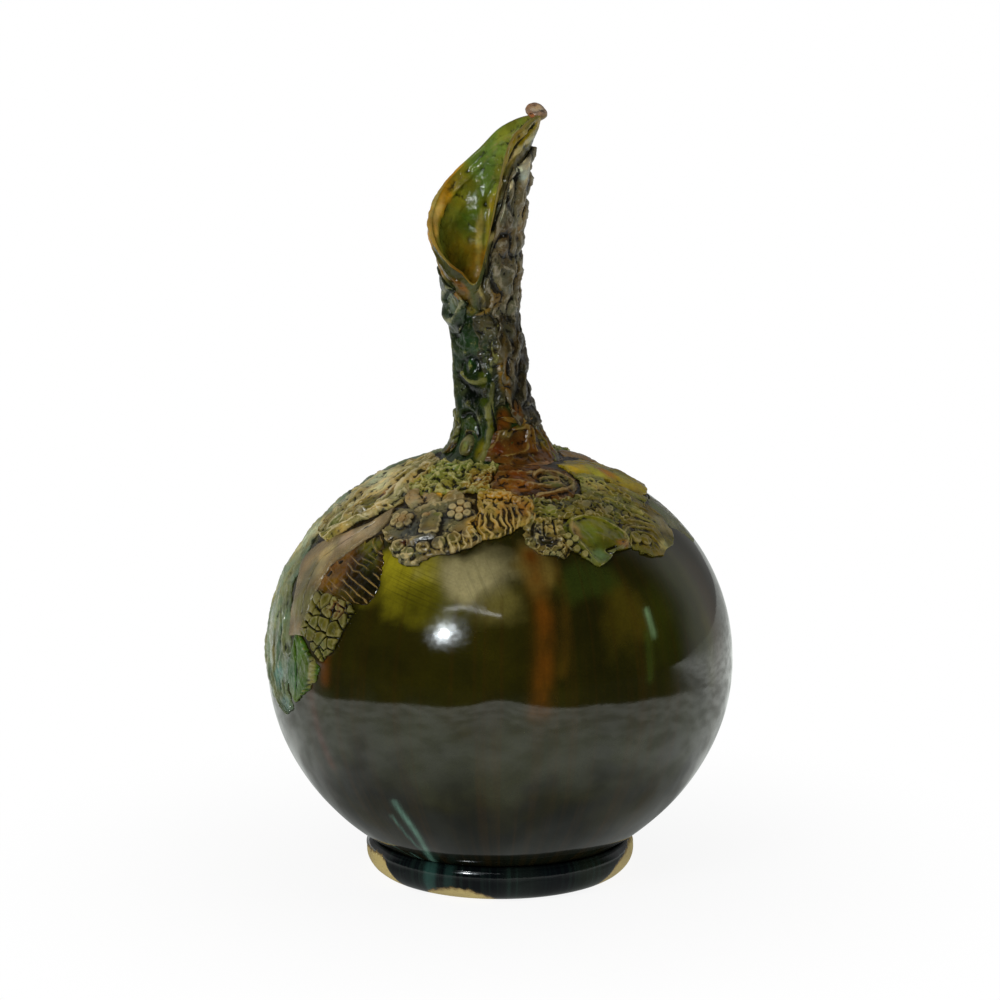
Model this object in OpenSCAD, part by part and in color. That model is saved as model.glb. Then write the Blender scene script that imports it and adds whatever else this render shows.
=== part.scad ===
/* [Globe] */
// Widest diameter of the thrown globe
globe_d = 200; // [190:1:210]
// Height of the bare shoulder dome above the widest line
dome_h = 89.5; // [86:0.5:94]
// Depth of the bowl below the widest line, before its base is cut flat
bowl_h = 94; // [90:0.5:98]
// Tilt of the surface where the side arc of the outline meets the dome's arc
dome_turn = 32.4; // [28:0.2:38]
// Tilt of the surface, from straight down, where the side arc meets the bowl's arc
bowl_turn = 60.9; // [54:0.1:66]
// Wall of the thrown globe
globe_wall = 4.5; // [3.5:0.25:6]
// Thickness of the floor of the globe
floor_t = 6; // [4:0.5:8]

/* [Foot ring] */
// Widest diameter of the foot ring
foot_d = 115.6; // [112:0.4:118]
// Height of the foot ring's round lower edge
foot_round = 10; // [8:0.5:11]
// Width of the flat face that the foot ring stands on
foot_face_w = 4.5; // [3:0.5:6]
// Height of the recessed floor inside the foot ring
foot_recess = 7; // [5:0.5:9]

/* [Neck] */
// Diameter of the flat seat that the neck stands on
seat_d = 52; // [48:1:54]
// Bore of the neck at its root
bore_d = 20; // [18:1:22]
// Height of the neck tube, from its seat to the seam under the mouth
neck_h = 62.5; // [58:0.5:66]
// Half width of the neck halfway up
neck_r = 14.6; // [14:0.1:15.6]
// Wall of the neck and of the mouth
neck_wall = 4; // [3:0.25:4.5]
// Distance that the top of the neck leans to the left
neck_lean = 8.2; // [6:0.1:10]

/* [Mouth] */
// Height of the mouth's tip above the seam
mouth_h = 83.5; // [80:0.5:87]
// Spread of the mouth from side to side
mouth_w = 46; // [43:0.5:49]
// Depth of the mouth from front to back
mouth_depth = 35; // [33:0.5:38]
// Half length of the rolled bead on the tip
bead_l = 3.6; // [3:0.1:4.2]
// Half height of the rolled bead on the tip
bead_h = 3.1; // [2.6:0.1:3.5]

/* [Applied clay] */
// Gap of slip between an applied piece and what carries it
slip_gap = 0.3; // [0.25:0.05:0.5]
// Thickness of a thin applied slab
thin_t = 1.6; // [1.2:0.1:2.2]
// Thickness of a thick applied slab
thick_t = 2.6; // [2:0.1:3.2]
// Height of the ribs, stones and stamps above their slab
relief_h = 1.1; // [0.6:0.1:1.6]
// Thickness of the bark slab on the neck
bark_t = 2.4; // [1.8:0.1:3]
// Number of ribs on the ribbed slab
rib_count = 9; // [7:1:11]
// Number of gills on the gill strip
gill_count = 8; // [6:1:10]

/* [Hidden] */
$fn = 96;

// Length by which every cut runs past what it cuts
overrun = 1;

// Oval outline of the globe: above and below the widest line a side arc runs
// into a second arc, whose radius differs by a step, at a named tilt
function arc_step(reach, turn) = (globe_d / 2 - reach) / (sin(turn) + cos(turn) - 1);
dome_step = arc_step(dome_h, dome_turn);
bowl_step = arc_step(bowl_h, bowl_turn);
// Places of the arcs' centres: in from the axis, and beyond the widest line
dome_in = dome_step * sin(dome_turn);
bowl_in = bowl_step * sin(bowl_turn);
dome_drop = dome_step * cos(dome_turn);
bowl_drop = bowl_step * cos(bowl_turn);
dome_r = dome_h + dome_drop;
bowl_r = bowl_h + bowl_drop;
// The uncut bowl would just touch the table
widest_z = bowl_h;
// Height at which the dome is cut flat to seat the neck, and its tilt at that edge
seat_z = widest_z - dome_drop + sqrt(dome_r ^ 2 - (seat_d / 2) ^ 2);
seat_turn = asin(seat_d / 2 / dome_r);
seam_z = seat_z + neck_h;
// Flat ring that the foot stands on, and the two edges of the ring's wall
foot_face_r = foot_d / 2 - foot_round;
foot_bore_r = foot_face_r - foot_face_w;

// Point on the globe: turn from the front, tilt of the surface from +Z, height
function globe_r(tilt, h) =
    tilt < dome_turn ? (dome_r + h) * sin(tilt)
    : tilt < 90 ? dome_in + (globe_d / 2 - dome_in + h) * sin(tilt)
    : tilt < 180 - bowl_turn ? bowl_in + (globe_d / 2 - bowl_in + h) * sin(tilt)
    : (bowl_r + h) * sin(tilt);
function globe_z(tilt, h) =
    tilt < dome_turn ? (dome_r + h) * cos(tilt) - dome_drop
    : tilt < 90 ? (globe_d / 2 - dome_in + h) * cos(tilt)
    : tilt < 180 - bowl_turn ? (globe_d / 2 - bowl_in + h) * cos(tilt)
    : (bowl_r + h) * cos(tilt) + bowl_drop;
function on_globe(turn, tilt, h) = [
    globe_r(tilt, h) * sin(turn),
    -globe_r(tilt, h) * cos(turn),
    widest_z + globe_z(tilt, h)
];
// The tables of edges are drawn for a seat that ends at this tilt, and what they
// place above the widest line moves with the real one
drawn_turn = 13.3;
function real_tilt(tilt) =
    tilt > 90 ? tilt : 90 - (90 - tilt) * (90 - seat_turn) / (90 - drawn_turn);

// Value at a share s of the way through a list, on a smooth curve
function smooth(list, s) =
    let (
        n = len(list) - 1,
        k = max(0, min(floor(s * n), n - 1)),
        f = s * n - k,
        before = list[max(k - 1, 0)],
        here = list[k],
        there = list[k + 1],
        after = list[min(k + 2, n)]
    )
    here
    + (there - before) * f / 2
    + (2 * before - 5 * here + 4 * there - after) * f ^ 2 / 2
    + (3 * here - before - 3 * there + after) * f ^ 3 / 2;

// Neck, from its root to the seam: height, lean, width and depth as shares
neck_shares = [
    [0.00, 0.00, 1.71, 1.71],
    [0.05, 0.00, 1.56, 1.56],
    [0.12, 0.02, 1.36, 1.36],
    [0.24, 0.12, 1.17, 1.17],
    [0.38, 0.36, 1.05, 1.08],
    [0.52, 0.54, 1.00, 1.04],
    [0.68, 0.60, 0.98, 1.02],
    [0.84, 0.74, 0.96, 1.00],
    [1.00, 1.00, 0.96, 1.00]
];
// The first row is as wide as the seat, whatever the neck's own width
function neck_row(level) =
    let (row = smooth(neck_shares, level))
    [
        row[0] * neck_h,
        -row[1] * neck_lean,
        row[2] * neck_r + (seat_d / 2 - neck_shares[0][2] * neck_r) * max(0, 1 - 6 * level),
        row[3] * neck_r + (seat_d / 2 - neck_shares[0][3] * neck_r) * max(0, 1 - 6 * level)
    ];
function on_neck(turn, level, h) =
    let (row = neck_row(level))
    [row[1] + (row[2] + h) * sin(turn), -(row[3] + h) * cos(turn), seat_z + row[0]];
// Inside of the neck: it keeps the root bore and then follows the wall
function in_neck(turn, level) =
    let (
        row = neck_row(level),
        reach = max(bore_d / 2, min(row[2] - neck_wall, bore_d / 2 + level * neck_wall / 4))
    )
    [row[1] + reach * sin(turn), -reach * cos(turn), seat_z + row[0]];

// Rim of the mouth, every 24 degrees from the front and to the right:
// side, depth and height as shares of the mouth's spread, depth and height
rim_shares = [
    [-0.20, -0.48, 0.18],
    [-0.03, -0.48, 0.57],
    [0.09, -0.44, 0.84],
    [0.22, -0.30, 0.95],
    [0.315, -0.08, 0.965],
    [0.28, 0.12, 0.965],
    [0.15, 0.30, 0.955],
    [-0.02, 0.42, 0.90],
    [-0.20, 0.48, 0.80],
    [-0.41, 0.42, 0.70],
    [-0.57, 0.26, 0.60],
    [-0.65, 0.02, 0.495],
    [-0.64, -0.22, 0.40],
    [-0.54, -0.40, 0.30],
    [-0.36, -0.47, 0.22]
];
// The rim's rows close on themselves, so the curve runs three rows past the ring
rim_ring = [for (k = [-1 : len(rim_shares) + 1]) rim_shares[(k + len(rim_shares)) % len(rim_shares)]];
function rim_point(turn) =
    let (
        share = ((turn + 360) % 360) / 360,
        row = smooth(rim_ring, (1 + share * len(rim_shares)) / (len(rim_ring) - 1))
    )
    [row[0] * mouth_w, row[1] * mouth_depth, seam_z + row[2] * mouth_h];
// Power of the curve by which the mouth opens towards its rim
flare_power = 1.35;
function on_mouth(turn, level, h) =
    let (
        low = on_neck(turn, 1, 0),
        high = rim_point(turn),
        side = low + (high - low) * level ^ flare_power,
        rise = low.z + (high.z - low.z) * level
    )
    [side.x + h * sin(turn), side.y - h * cos(turn), rise];
function in_mouth(turn, level) =
    let (outer = on_mouth(turn, level, -neck_wall), low = in_neck(turn, 1))
    level == 0 ? low : outer;

// Neck up to level 1 and mouth above it, for pieces that cross the seam
function on_spout(turn, level, h) = level <= 1 ? on_neck(turn, level, h) : on_mouth(turn, level - 1, h);

// Skin of a tube from rings of points, outer rings up and inner rings down
module tube_skin(rings) {
    sides = len(rings[0]);
    count = len(rings);
    function at(i, j) = (i % count) * sides + j % sides;
    polyhedron(
        points = [for (ring = rings) each ring],
        faces = [
            for (i = [0 : count - 1], j = [0 : sides - 1])
            each [
                [at(i, j), at(i + 1, j), at(i + 1, j + 1)],
                [at(i, j), at(i + 1, j + 1), at(i, j + 1)]
            ]
        ],
        convexity = 8
    );
}

// Closed slab from a grid of top points and the same grid of bottom points
module slab_skin(top, bottom) {
    rows = len(top);
    cols = len(top[0]);
    below = rows * cols;
    function at(i, j) = i * cols + j;
    polyhedron(
        points = concat([for (row = top) each row], [for (row = bottom) each row]),
        faces = [
            for (i = [0 : rows - 2], j = [0 : cols - 2])
            each [
                [at(i, j), at(i + 1, j), at(i + 1, j + 1)],
                [at(i, j), at(i + 1, j + 1), at(i, j + 1)],
                [below + at(i, j), below + at(i + 1, j + 1), below + at(i + 1, j)],
                [below + at(i, j), below + at(i, j + 1), below + at(i + 1, j + 1)]
            ],
            for (i = [0 : rows - 2], j = [0, cols - 1])
            let (a = at(i, j), b = at(i + 1, j))
            each j == 0
                ? [[a, below + b, b], [a, below + a, below + b]]
                : [[a, b, below + b], [a, below + b, below + a]],
            for (j = [0 : cols - 2], i = [0, rows - 1])
            let (a = at(i, j), b = at(i, j + 1))
            each i == 0
                ? [[a, b, below + b], [a, below + b, below + a]]
                : [[a, below + b, b], [a, below + a, below + b]]
        ],
        convexity = 8
    );
}

// Slab pressed onto the globe between two edges. Each row of its table holds a
// point of one edge and the point of the other edge across from it, both as
// turn from the front and tilt of the surface
function facing(turn, tilt) = [sin(tilt) * sin(turn), -sin(tilt) * cos(turn), cos(tilt)];
function between(edges, s, v) =
    let (row = smooth(edges, s), w = (v + 1) / 2)
    [row[0] + (row[2] - row[0]) * w, row[1] + (row[3] - row[1]) * w];
// True when the second edge lies to the left of the first, seen from outside
function mirrored(edges) =
    let (
        middle = edges[floor(len(edges) / 2)],
        start = facing(middle[0], middle[1]),
        on = between(edges, 0.9, 0) - between(edges, 0.1, 0),
        here = between(edges, 0.5, 0),
        along = facing(here[0] + on[0] / 8, here[1] + on[1] / 8) - facing(here[0], here[1]),
        side = facing(middle[2], middle[3]) - start
    )
    cross(along, side) * start > 0;
module globe_slab(edges, rise, rows = 12, cols = 5) {
    way = mirrored(edges) ? -1 : 1;
    grid = [for (i = [0 : rows]) [for (j = [0 : cols]) [i / rows, way * (2 * j / cols - 1)]]];
    function at(s, v, h) = let (place = between(edges, s, v)) on_globe(place[0], real_tilt(place[1]), slip_gap + h);
    slab_skin(
        [for (row = grid) [for (c = row) at(c[0], c[1], rise(c[0], c[1]))]],
        [for (row = grid) [for (c = row) at(c[0], c[1], 0)]]
    );
}

// Slab wrapped on the neck or mouth between two turns and two levels,
// drawn in at its ends by a share of its half width
module wrapped_slab(skin, turns, levels, rise, taper_share = 0.4, rows = 10, cols = 5) {
    grid = [for (i = [0 : rows]) [for (j = [0 : cols]) [i / rows, 2 * j / cols - 1]]];
    function spread(s) = 1 - taper_share * (2 * s - 1) ^ 4;
    function turn_at(s, v) = (turns[0] + turns[1]) / 2 - v * spread(s) * (turns[1] - turns[0]) / 2;
    function level_at(s) = levels[0] + (levels[1] - levels[0]) * s;
    slab_skin(
        [for (row = grid) [for (c = row) skin(turn_at(c[0], c[1]), level_at(c[0]),
            slip_gap + rise(c[0], c[1]))]],
        [for (row = grid) [for (c = row) skin(turn_at(c[0], c[1]), level_at(c[0]), slip_gap)]]
    );
}

// Heights of a slab over its length share s and its width share v, -1 to 1
function pillow(t, v) = t * (1 - 0.45 * v ^ 4);
function plain_rise(t) = function (s, v) pillow(t, v);
function rib_rise(t, count, slant) =
    function (s, v) pillow(t, v) + relief_h / 2 * (1 + cos(360 * (count * s + slant * v)));
function stone_rise(t, long, wide) =
    function (s, v) pillow(t, v) + relief_h * abs(sin(180 * long * s) * sin(90 * wide * (v + 1)));
function vein_rise(t, count) =
    function (s, v) pillow(t, v) + relief_h / 2 * (exp(-12 * v ^ 2) + 0.5 * cos(360 * count * s) * abs(v));
function rosette_rise(t, count) =
    function (s, v) pillow(t, v)
        + relief_h * max(0, 1 - (v ^ 2 + (2 * abs(count * s - floor(count * s) - 0.5)) ^ 2));
function bark_rise(t) =
    function (s, v) t * (0.75 + 0.25 * cos(360 * (2 * s + v)) * cos(360 * (3 * s - v)));

// Sector of a disc between two tilts
module sector(centre, radius, low, high) {
    reach = 2 * radius;
    intersection() {
        translate(centre) circle(radius);
        polygon([centre, for (tilt = [low, (low + high) / 2, high]) centre + reach * [sin(tilt), cos(tilt)]]);
    }
}

// Half outline of the globe, drawn in by a wall. Its sectors lap over each other
lap_turn = 2;
module oval(inset) {
    half = globe_d / 2;
    intersection() {
        union() {
            sector([0, -dome_drop], dome_r - inset, 0, dome_turn);
            sector([dome_in, 0], half - dome_in - inset, dome_turn - lap_turn, 90 + lap_turn);
            sector([bowl_in, 0], half - bowl_in - inset, 90, 180 - bowl_turn + lap_turn);
            sector([0, bowl_drop], bowl_r - inset, 180 - bowl_turn, 180);
            // Core that the sectors' points lie in
            translate([0, -bowl_h / 2]) square([half / 2, (dome_h + bowl_h) / 2]);
        }
        translate([0, -globe_d]) square([globe_d, 2 * globe_d]);
    }
}

module globe() {
    color("darkolivegreen")
    rotate_extrude()
    difference() {
        translate([0, widest_z]) oval(0);
        // Hollow inside, above the floor
        intersection() {
            translate([0, widest_z]) oval(globe_wall);
            translate([0, foot_recess + floor_t]) square([globe_d, globe_d]);
        }
        // Flat seat of the neck and the hole into it
        translate([0, seat_z]) square([globe_d, globe_d]);
        translate([0, widest_z]) square([bore_d / 2, globe_d]);
        // Flat underside within the foot ring
        translate([0, foot_recess - globe_d]) square([globe_d, globe_d]);
    }
}

module foot_ring() {
    color("darkkhaki")
    rotate_extrude()
    difference() {
        union() {
            translate([foot_face_r, foot_round]) circle(foot_round);
            translate([foot_bore_r, foot_round]) square([foot_face_w + foot_round, foot_round]);
            translate([foot_bore_r, 0]) square([foot_face_w, foot_round]);
        }
        translate([0, widest_z]) oval(-slip_gap);
        translate([-overrun, 0]) square([foot_bore_r + overrun, 2 * foot_round + overrun]);
    }
}

// Sides of the round skins and rings up the neck and mouth
skin_sides = 30;
neck_levels = [for (k = [0 : 9]) (k / 9) ^ 1.5];
mouth_levels = [for (k = [0 : 8]) k / 8];
ring_turns = [for (j = [0 : skin_sides - 1]) -360 * j / skin_sides];

module neck_tube() {
    color("darkgreen")
    tube_skin(concat(
        [for (level = neck_levels) [for (turn = ring_turns) on_neck(turn, level, 0)]],
        [for (k = [len(neck_levels) - 1 : -1 : 0]) [for (turn = ring_turns) in_neck(turn, neck_levels[k])]]
    ));
}

module mouth_leaf() {
    color("olivedrab")
    tube_skin(concat(
        [for (level = mouth_levels) [for (turn = ring_turns) on_mouth(turn, level, 0)]],
        // Rounded lip of the rim
        [[for (turn = ring_turns) on_mouth(turn, 1, -neck_wall / 2) + [0, 0, neck_wall / 3]]],
        [for (k = [len(mouth_levels) - 1 : -1 : 0]) [for (turn = ring_turns) in_mouth(turn, mouth_levels[k])]]
    ));
}

// Turn of the mouth's tip from the front
tip_turn = 100;
// Share of the bead's half height at which it is pressed flat on the rim
press_share = 0.85;
module tip_bead() {
    seat = on_mouth(tip_turn, 1, -neck_wall / 2) + [0, 0, neck_wall / 3 + slip_gap];
    color("rosybrown")
    difference() {
        translate(seat + [0, 0, press_share * bead_h])
        scale([bead_l / bead_h, 1, 1])
        sphere(bead_h);
        translate(seat - [bead_l + overrun, bead_l + overrun, bead_h + overrun])
        cube([2 * (bead_l + overrun), 2 * (bead_l + overrun), bead_h + overrun]);
    }
}

module bark_slab_low() {
    color("dimgray")
    wrapped_slab(function (a, b, h) on_neck(a, b, h), [32, 138], [0.42, 1], bark_rise(bark_t), 0.2);
}

module bark_slab_high() {
    color("gray")
    wrapped_slab(function (a, b, h) on_mouth(a, b, h), [28, 132], [0.02, 0.88], bark_rise(bark_t), 0.2, 14);
}

module folded_tab() {
    color("darkslategray")
    wrapped_slab(function (a, b, h) on_spout(a, b, h), [-112, -34], [0.9, 1.5], plain_rise(thick_t), 0.9, 12);
}

module wrap_strip() {
    color("darkolivegreen")
    wrapped_slab(function (a, b, h) on_spout(a, b, h), [-14, 26], [0.5, 1.125], plain_rise(thin_t), 0.6);
}

module root_leaf() {
    color("saddlebrown")
    wrapped_slab(function (a, b, h) on_neck(a, b, h), [-12, 82], [0.07, 0.38],
        stone_rise(thin_t, 3, 3), 0.5, 10, 6);
}

module root_button() {
    color("darkkhaki")
    wrapped_slab(function (a, b, h) on_neck(a, b, h), [-52, -28], [0.14, 0.34], plain_rise(thick_t), 0.7, 6);
}

module root_pods() {
    color("yellowgreen")
    wrapped_slab(function (a, b, h) on_neck(a, b, h), [-112, -64], [0.1, 0.46],
        stone_rise(thin_t, 3, 1), 0.8, 9);
}

module root_cushion() {
    color("rosybrown")
    wrapped_slab(function (a, b, h) on_neck(a, b, h), [18, 58], [0.015, 0.06], plain_rise(thin_t), 0.8, 5, 5);
}

moss_patch_turn = [
    [-56, 14.4, -47, 26.6], [-43, 14.2, -37.5, 26], [-29, 14.2, -27, 24.8], [-16, 14.2, -15, 24.3],
    [-4, 14.2, -5, 23.4]
];
module moss_patch() {
    color("olive")
    globe_slab(moss_patch_turn, rib_rise(thick_t, 5, 1), 14);
}

lump_row_turn = [
    [-46, 27.4, -41, 31], [-41.5, 26.8, -34.5, 32.4], [-35, 26.4, -30.5, 30.6], [-27.5, 25.6, -24.5, 28.4],
    [-19, 25.4, -17.5, 27.4]
];
module lump_row() {
    color("tan")
    globe_slab(lump_row_turn, stone_rise(thin_t, 5, 1), 15, 4);
}

shoulder_band_turn = [
    [-92, 14.6, -58.5, 14.6], [-88, 23, -50, 25], [-87, 30, -47.5, 31], [-83, 37, -52, 36],
    [-79, 43, -58.5, 41.5], [-75.5, 48, -66, 49]
];
module shoulder_band() {
    color("darkkhaki")
    globe_slab(shoulder_band_turn, stone_rise(thick_t, 6, 2), 18, 6);
}

smooth_band_turn = [
    [-46, 32.8, -43.6, 36], [-50.4, 38.4, -45, 41], [-57.4, 44.2, -50.5, 47.4], [-68, 50.6, -56.4, 54.4],
    [-71.5, 58, -57.8, 61.2], [-66, 66, -57.6, 67.6], [-61, 73.4, -57.6, 72.6]
];
module smooth_band() {
    color("rosybrown")
    globe_slab(smooth_band_turn, plain_rise(thin_t), 14, 4);
}

ribbed_slab_turn = [
    [-44.5, 42.5, -42, 42.5], [-49, 48, -38.5, 49.5], [-52.5, 52, -36.5, 54.5], [-55.5, 56, -36.5, 59.5],
    [-56.5, 60, -39, 63.5], [-56, 63.5, -47, 63]
];
module ribbed_slab() {
    color("sienna")
    globe_slab(ribbed_slab_turn, rib_rise(thin_t, rib_count, -2.1), 2 * rib_count, 9);
}

cobble_strip_turn = [
    [-51, 64.5, -44, 65], [-55.5, 68.5, -40.5, 67], [-56.2, 71.5, -42, 70], [-56, 75, -44, 74.5],
    [-52, 77.5, -45, 77.5], [-48.5, 80.5, -47.5, 81]
];
module cobble_strip() {
    color("olive")
    globe_slab(cobble_strip_turn, stone_rise(thin_t, 5, 3), 15, 6);
}

green_blade_turn = [
    [-60.5, 77, -58.5, 76], [-61, 81, -54, 79.5], [-61.5, 84.5, -49.5, 83], [-61.5, 88.5, -50, 86.5],
    [-60.5, 92.5, -53, 90.5], [-59, 95.5, -56.5, 94.5]
];
module green_blade() {
    color("seagreen")
    globe_slab(green_blade_turn, vein_rise(thin_t, 1), 10, 4);
}

edge_frond_turn = [
    [-106, 36, -90, 35], [-101, 43, -85, 43], [-97, 50, -78, 50.5], [-95, 57, -74, 57.5],
    [-93, 63, -73.5, 64], [-91, 70, -67.5, 70.5], [-88, 77, -63.5, 77], [-85, 84, -63, 84],
    [-80, 91, -63, 90.5], [-72, 97, -61.5, 96.5], [-64.5, 100, -61.5, 99]
];
module edge_frond() {
    color("darkseagreen")
    globe_slab(edge_frond_turn, rib_rise(thin_t, 1, 3.5), 14, 14);
}

rosette_strip_turn = [
    [-43, 36.5, -40, 43], [-41, 34, -33, 48], [-34.5, 33.6, -26, 49.5], [-29, 31.6, -21.5, 46.5],
    [-23.5, 29.4, -16, 44.5], [-17, 28.4, -11, 43], [-11.8, 28, -7.8, 41]
];
module rosette_strip() {
    color("peru")
    globe_slab(rosette_strip_turn, rosette_rise(thick_t, 3), 15, 7);
}

gill_strip_turn = [
    [-10.6, 26, -6.6, 40.5], [-6.5, 24.8, -2, 39.4], [0, 24.6, 2.5, 37.8], [6.4, 25.9, 6, 36],
    [11.6, 27.2, 10.2, 33]
];
module gill_strip() {
    color("burlywood")
    globe_slab(gill_strip_turn, rib_rise(thick_t, gill_count, 0.2), 2 * gill_count, 4);
}

strap_loop_turn = [
    [-2.6, 14.2, -2.6, 22.8], [9, 14.2, 8, 24.8], [21, 14.4, 19, 27.2], [32, 15.2, 29, 27.4],
    [41, 17, 37, 26.2], [46.6, 19, 42, 24]
];
module strap_loop() {
    color("sienna")
    globe_slab(strap_loop_turn, vein_rise(thick_t, 1), 12, 5);
}

stamp_slab_turn = [
    [11.8, 34, 21.6, 34], [9.6, 37, 21.2, 38], [9.2, 42, 20.8, 43.2], [12.4, 46, 18.4, 47.4]
];
module stamp_slab() {
    color("tan")
    globe_slab(stamp_slab_turn, stone_rise(thin_t, 2, 2), 8, 6);
}

scale_row_turn = [
    [16, 28.4, 14, 32.8], [24, 28.4, 22, 33], [32.5, 28.2, 29.5, 32.8], [40.5, 28.2, 37, 33.4],
    [48.2, 29.4, 44, 35.4], [52, 31.8, 49.5, 36.4]
];
module scale_row() {
    color("olivedrab")
    globe_slab(scale_row_turn, stone_rise(thin_t, 5, 1), 15, 4);
}

pebble_band_turn = [
    [49.6, 20.4, 41.8, 27], [56.4, 22.4, 46.4, 28], [63, 25, 52, 30], [67, 28.4, 56.5, 33],
    [69, 32.8, 61.4, 35]
];
module pebble_band() {
    color("darkkhaki")
    globe_slab(pebble_band_turn, stone_rise(thin_t, 6, 2), 18, 4);
}

amber_band_turn = [
    [56, 14.3, 49.4, 19], [82, 14.4, 58, 21.4], [104, 18, 65.6, 24.2], [110, 24, 71, 28.2],
    [106, 31.5, 74, 33]
];
module amber_band() {
    color("goldenrod")
    globe_slab(amber_band_turn, plain_rise(thick_t), 12, 5);
}

big_leaf_turn = [
    [26, 34.2, 36, 34.6], [23.2, 38, 43, 38.8], [22.6, 42, 44.6, 43.5], [24, 45.5, 42.5, 46.6],
    [27, 49, 36, 48], [29, 51.5, 31, 51]
];
module big_leaf() {
    color("olivedrab")
    globe_slab(big_leaf_turn, vein_rise(thick_t, 2), 12, 6);
}

fan_slab_turn = [
    [57, 36.4, 70, 35.6], [52, 38.4, 70, 41], [46.8, 42.4, 67, 46], [45.8, 46.2, 62, 49.6], [49, 50, 55, 51]
];
module fan_slab() {
    color("darkkhaki")
    globe_slab(fan_slab_turn, rib_rise(thin_t, 1, 2), 10, 8);
}

point_leaf_turn = [
    [75.5, 35, 90, 34.4], [75.5, 41, 92, 40.5], [79, 47, 91, 47], [85, 53, 88.5, 53]
];
module point_leaf() {
    color("darkseagreen")
    globe_slab(point_leaf_turn, vein_rise(thin_t, 1), 10, 4);
}

back_band_turn = [
    [99, 14.4, 123, 14.4], [113, 22, 132, 24], [116, 30, 135, 33], [118, 40, 136, 42], [122, 50, 131, 50.5]
];
module back_band() {
    color("goldenrod")
    globe_slab(back_band_turn, plain_rise(thick_t), 14, 5);
}

back_moss_turn = [
    [128, 14.4, 136, 24.6], [148, 14.2, 151, 25.8], [170, 14.2, 170, 25.8], [194, 14.2, 193, 25.2],
    [216, 14.4, 212, 24.2]
];
module back_moss() {
    color("olive")
    globe_slab(back_moss_turn, rib_rise(thick_t, 7, 1), 18, 4);
}

back_rosettes_turn = [
    [139, 27, 141, 41], [150, 28, 152, 45], [162, 28.4, 163, 46.5], [174, 28, 174, 45], [187, 26.8, 185.5, 42]
];
module back_rosettes() {
    color("peru")
    globe_slab(back_rosettes_turn, rosette_rise(thick_t, 4), 16, 6);
}

back_leaf_turn = [
    [160, 50, 166, 49.4], [157, 54, 172, 53], [158, 59, 173, 58.4], [162, 64, 169, 64], [166, 67.5, 167, 67.5]
];
module back_leaf() {
    color("olivedrab")
    globe_slab(back_leaf_turn, vein_rise(thin_t, 2), 12, 5);
}

back_ribs_turn = [
    [190, 28, 216, 26], [189, 34, 216, 32.6], [190, 41, 214, 40], [193, 48, 209, 47], [198, 54, 203, 54]
];
module back_ribs() {
    color("sienna")
    globe_slab(back_ribs_turn, rib_rise(thin_t, 7, 0.3), 14, 5);
}

back_frond_turn = [
    [220, 14.6, 264, 14.6], [221, 26, 258, 28], [223, 36, 250, 38], [229, 45, 250, 47], [235, 54, 249, 55],
    [242, 62, 247, 62]
];
module back_frond() {
    color("darkseagreen")
    globe_slab(back_frond_turn, rib_rise(thin_t, 1, 3.5), 10, 14);
}

globe();
foot_ring();
neck_tube();
mouth_leaf();
tip_bead();
bark_slab_low();
bark_slab_high();
folded_tab();
wrap_strip();
root_leaf();
root_button();
root_pods();
root_cushion();
moss_patch();
lump_row();
shoulder_band();
smooth_band();
ribbed_slab();
cobble_strip();
green_blade();
edge_frond();
rosette_strip();
gill_strip();
strap_loop();
stamp_slab();
scale_row();
pebble_band();
amber_band();
big_leaf();
fan_slab();
point_leaf();
back_band();
back_moss();
back_rosettes();
back_leaf();
back_ribs();
back_frond();
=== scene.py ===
import math

import bpy
import numpy as np
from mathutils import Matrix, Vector


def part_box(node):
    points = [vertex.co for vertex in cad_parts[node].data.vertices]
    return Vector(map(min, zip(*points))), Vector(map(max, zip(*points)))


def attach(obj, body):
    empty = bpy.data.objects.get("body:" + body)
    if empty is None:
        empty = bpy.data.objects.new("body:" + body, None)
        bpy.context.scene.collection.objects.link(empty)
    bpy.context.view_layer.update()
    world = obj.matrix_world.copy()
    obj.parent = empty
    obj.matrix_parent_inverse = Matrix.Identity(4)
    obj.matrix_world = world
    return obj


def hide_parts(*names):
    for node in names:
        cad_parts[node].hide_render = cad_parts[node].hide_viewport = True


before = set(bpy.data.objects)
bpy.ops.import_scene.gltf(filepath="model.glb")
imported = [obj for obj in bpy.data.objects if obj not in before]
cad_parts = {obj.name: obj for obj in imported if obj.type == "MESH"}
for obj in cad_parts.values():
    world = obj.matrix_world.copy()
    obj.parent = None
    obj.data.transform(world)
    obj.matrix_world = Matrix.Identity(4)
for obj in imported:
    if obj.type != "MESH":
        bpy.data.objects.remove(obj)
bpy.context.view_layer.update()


# Thrown globe. Stoneware, thrown as one hollow oval and closed by its floor, with
# a hole on top under the neck. Olive glaze was poured over it and ran down in
# streaks and coloured runs, and it is combed in two places.
MM = 0.001
globe_low, globe_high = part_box("globe")
widest_r = (globe_high.x - globe_low.x) / 2 / MM
widest_z = 94.0
dome_h = 89.5
dome_turn = math.radians(32.4)
bowl_turn = math.radians(60.9)
globe_wall = 4.5
globe_floor = 6.0
seat_r = 26.0
bore_r = 10.0
recess_r = 36.5
cavity_r = 40.0
axis_r = 0.5
recess_z = globe_low.z / MM


def arc_step(reach, turn):
    """Difference in radius of the two arcs that join at that turn"""
    return (widest_r - reach) / (math.sin(turn) + math.cos(turn) - 1)


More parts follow.
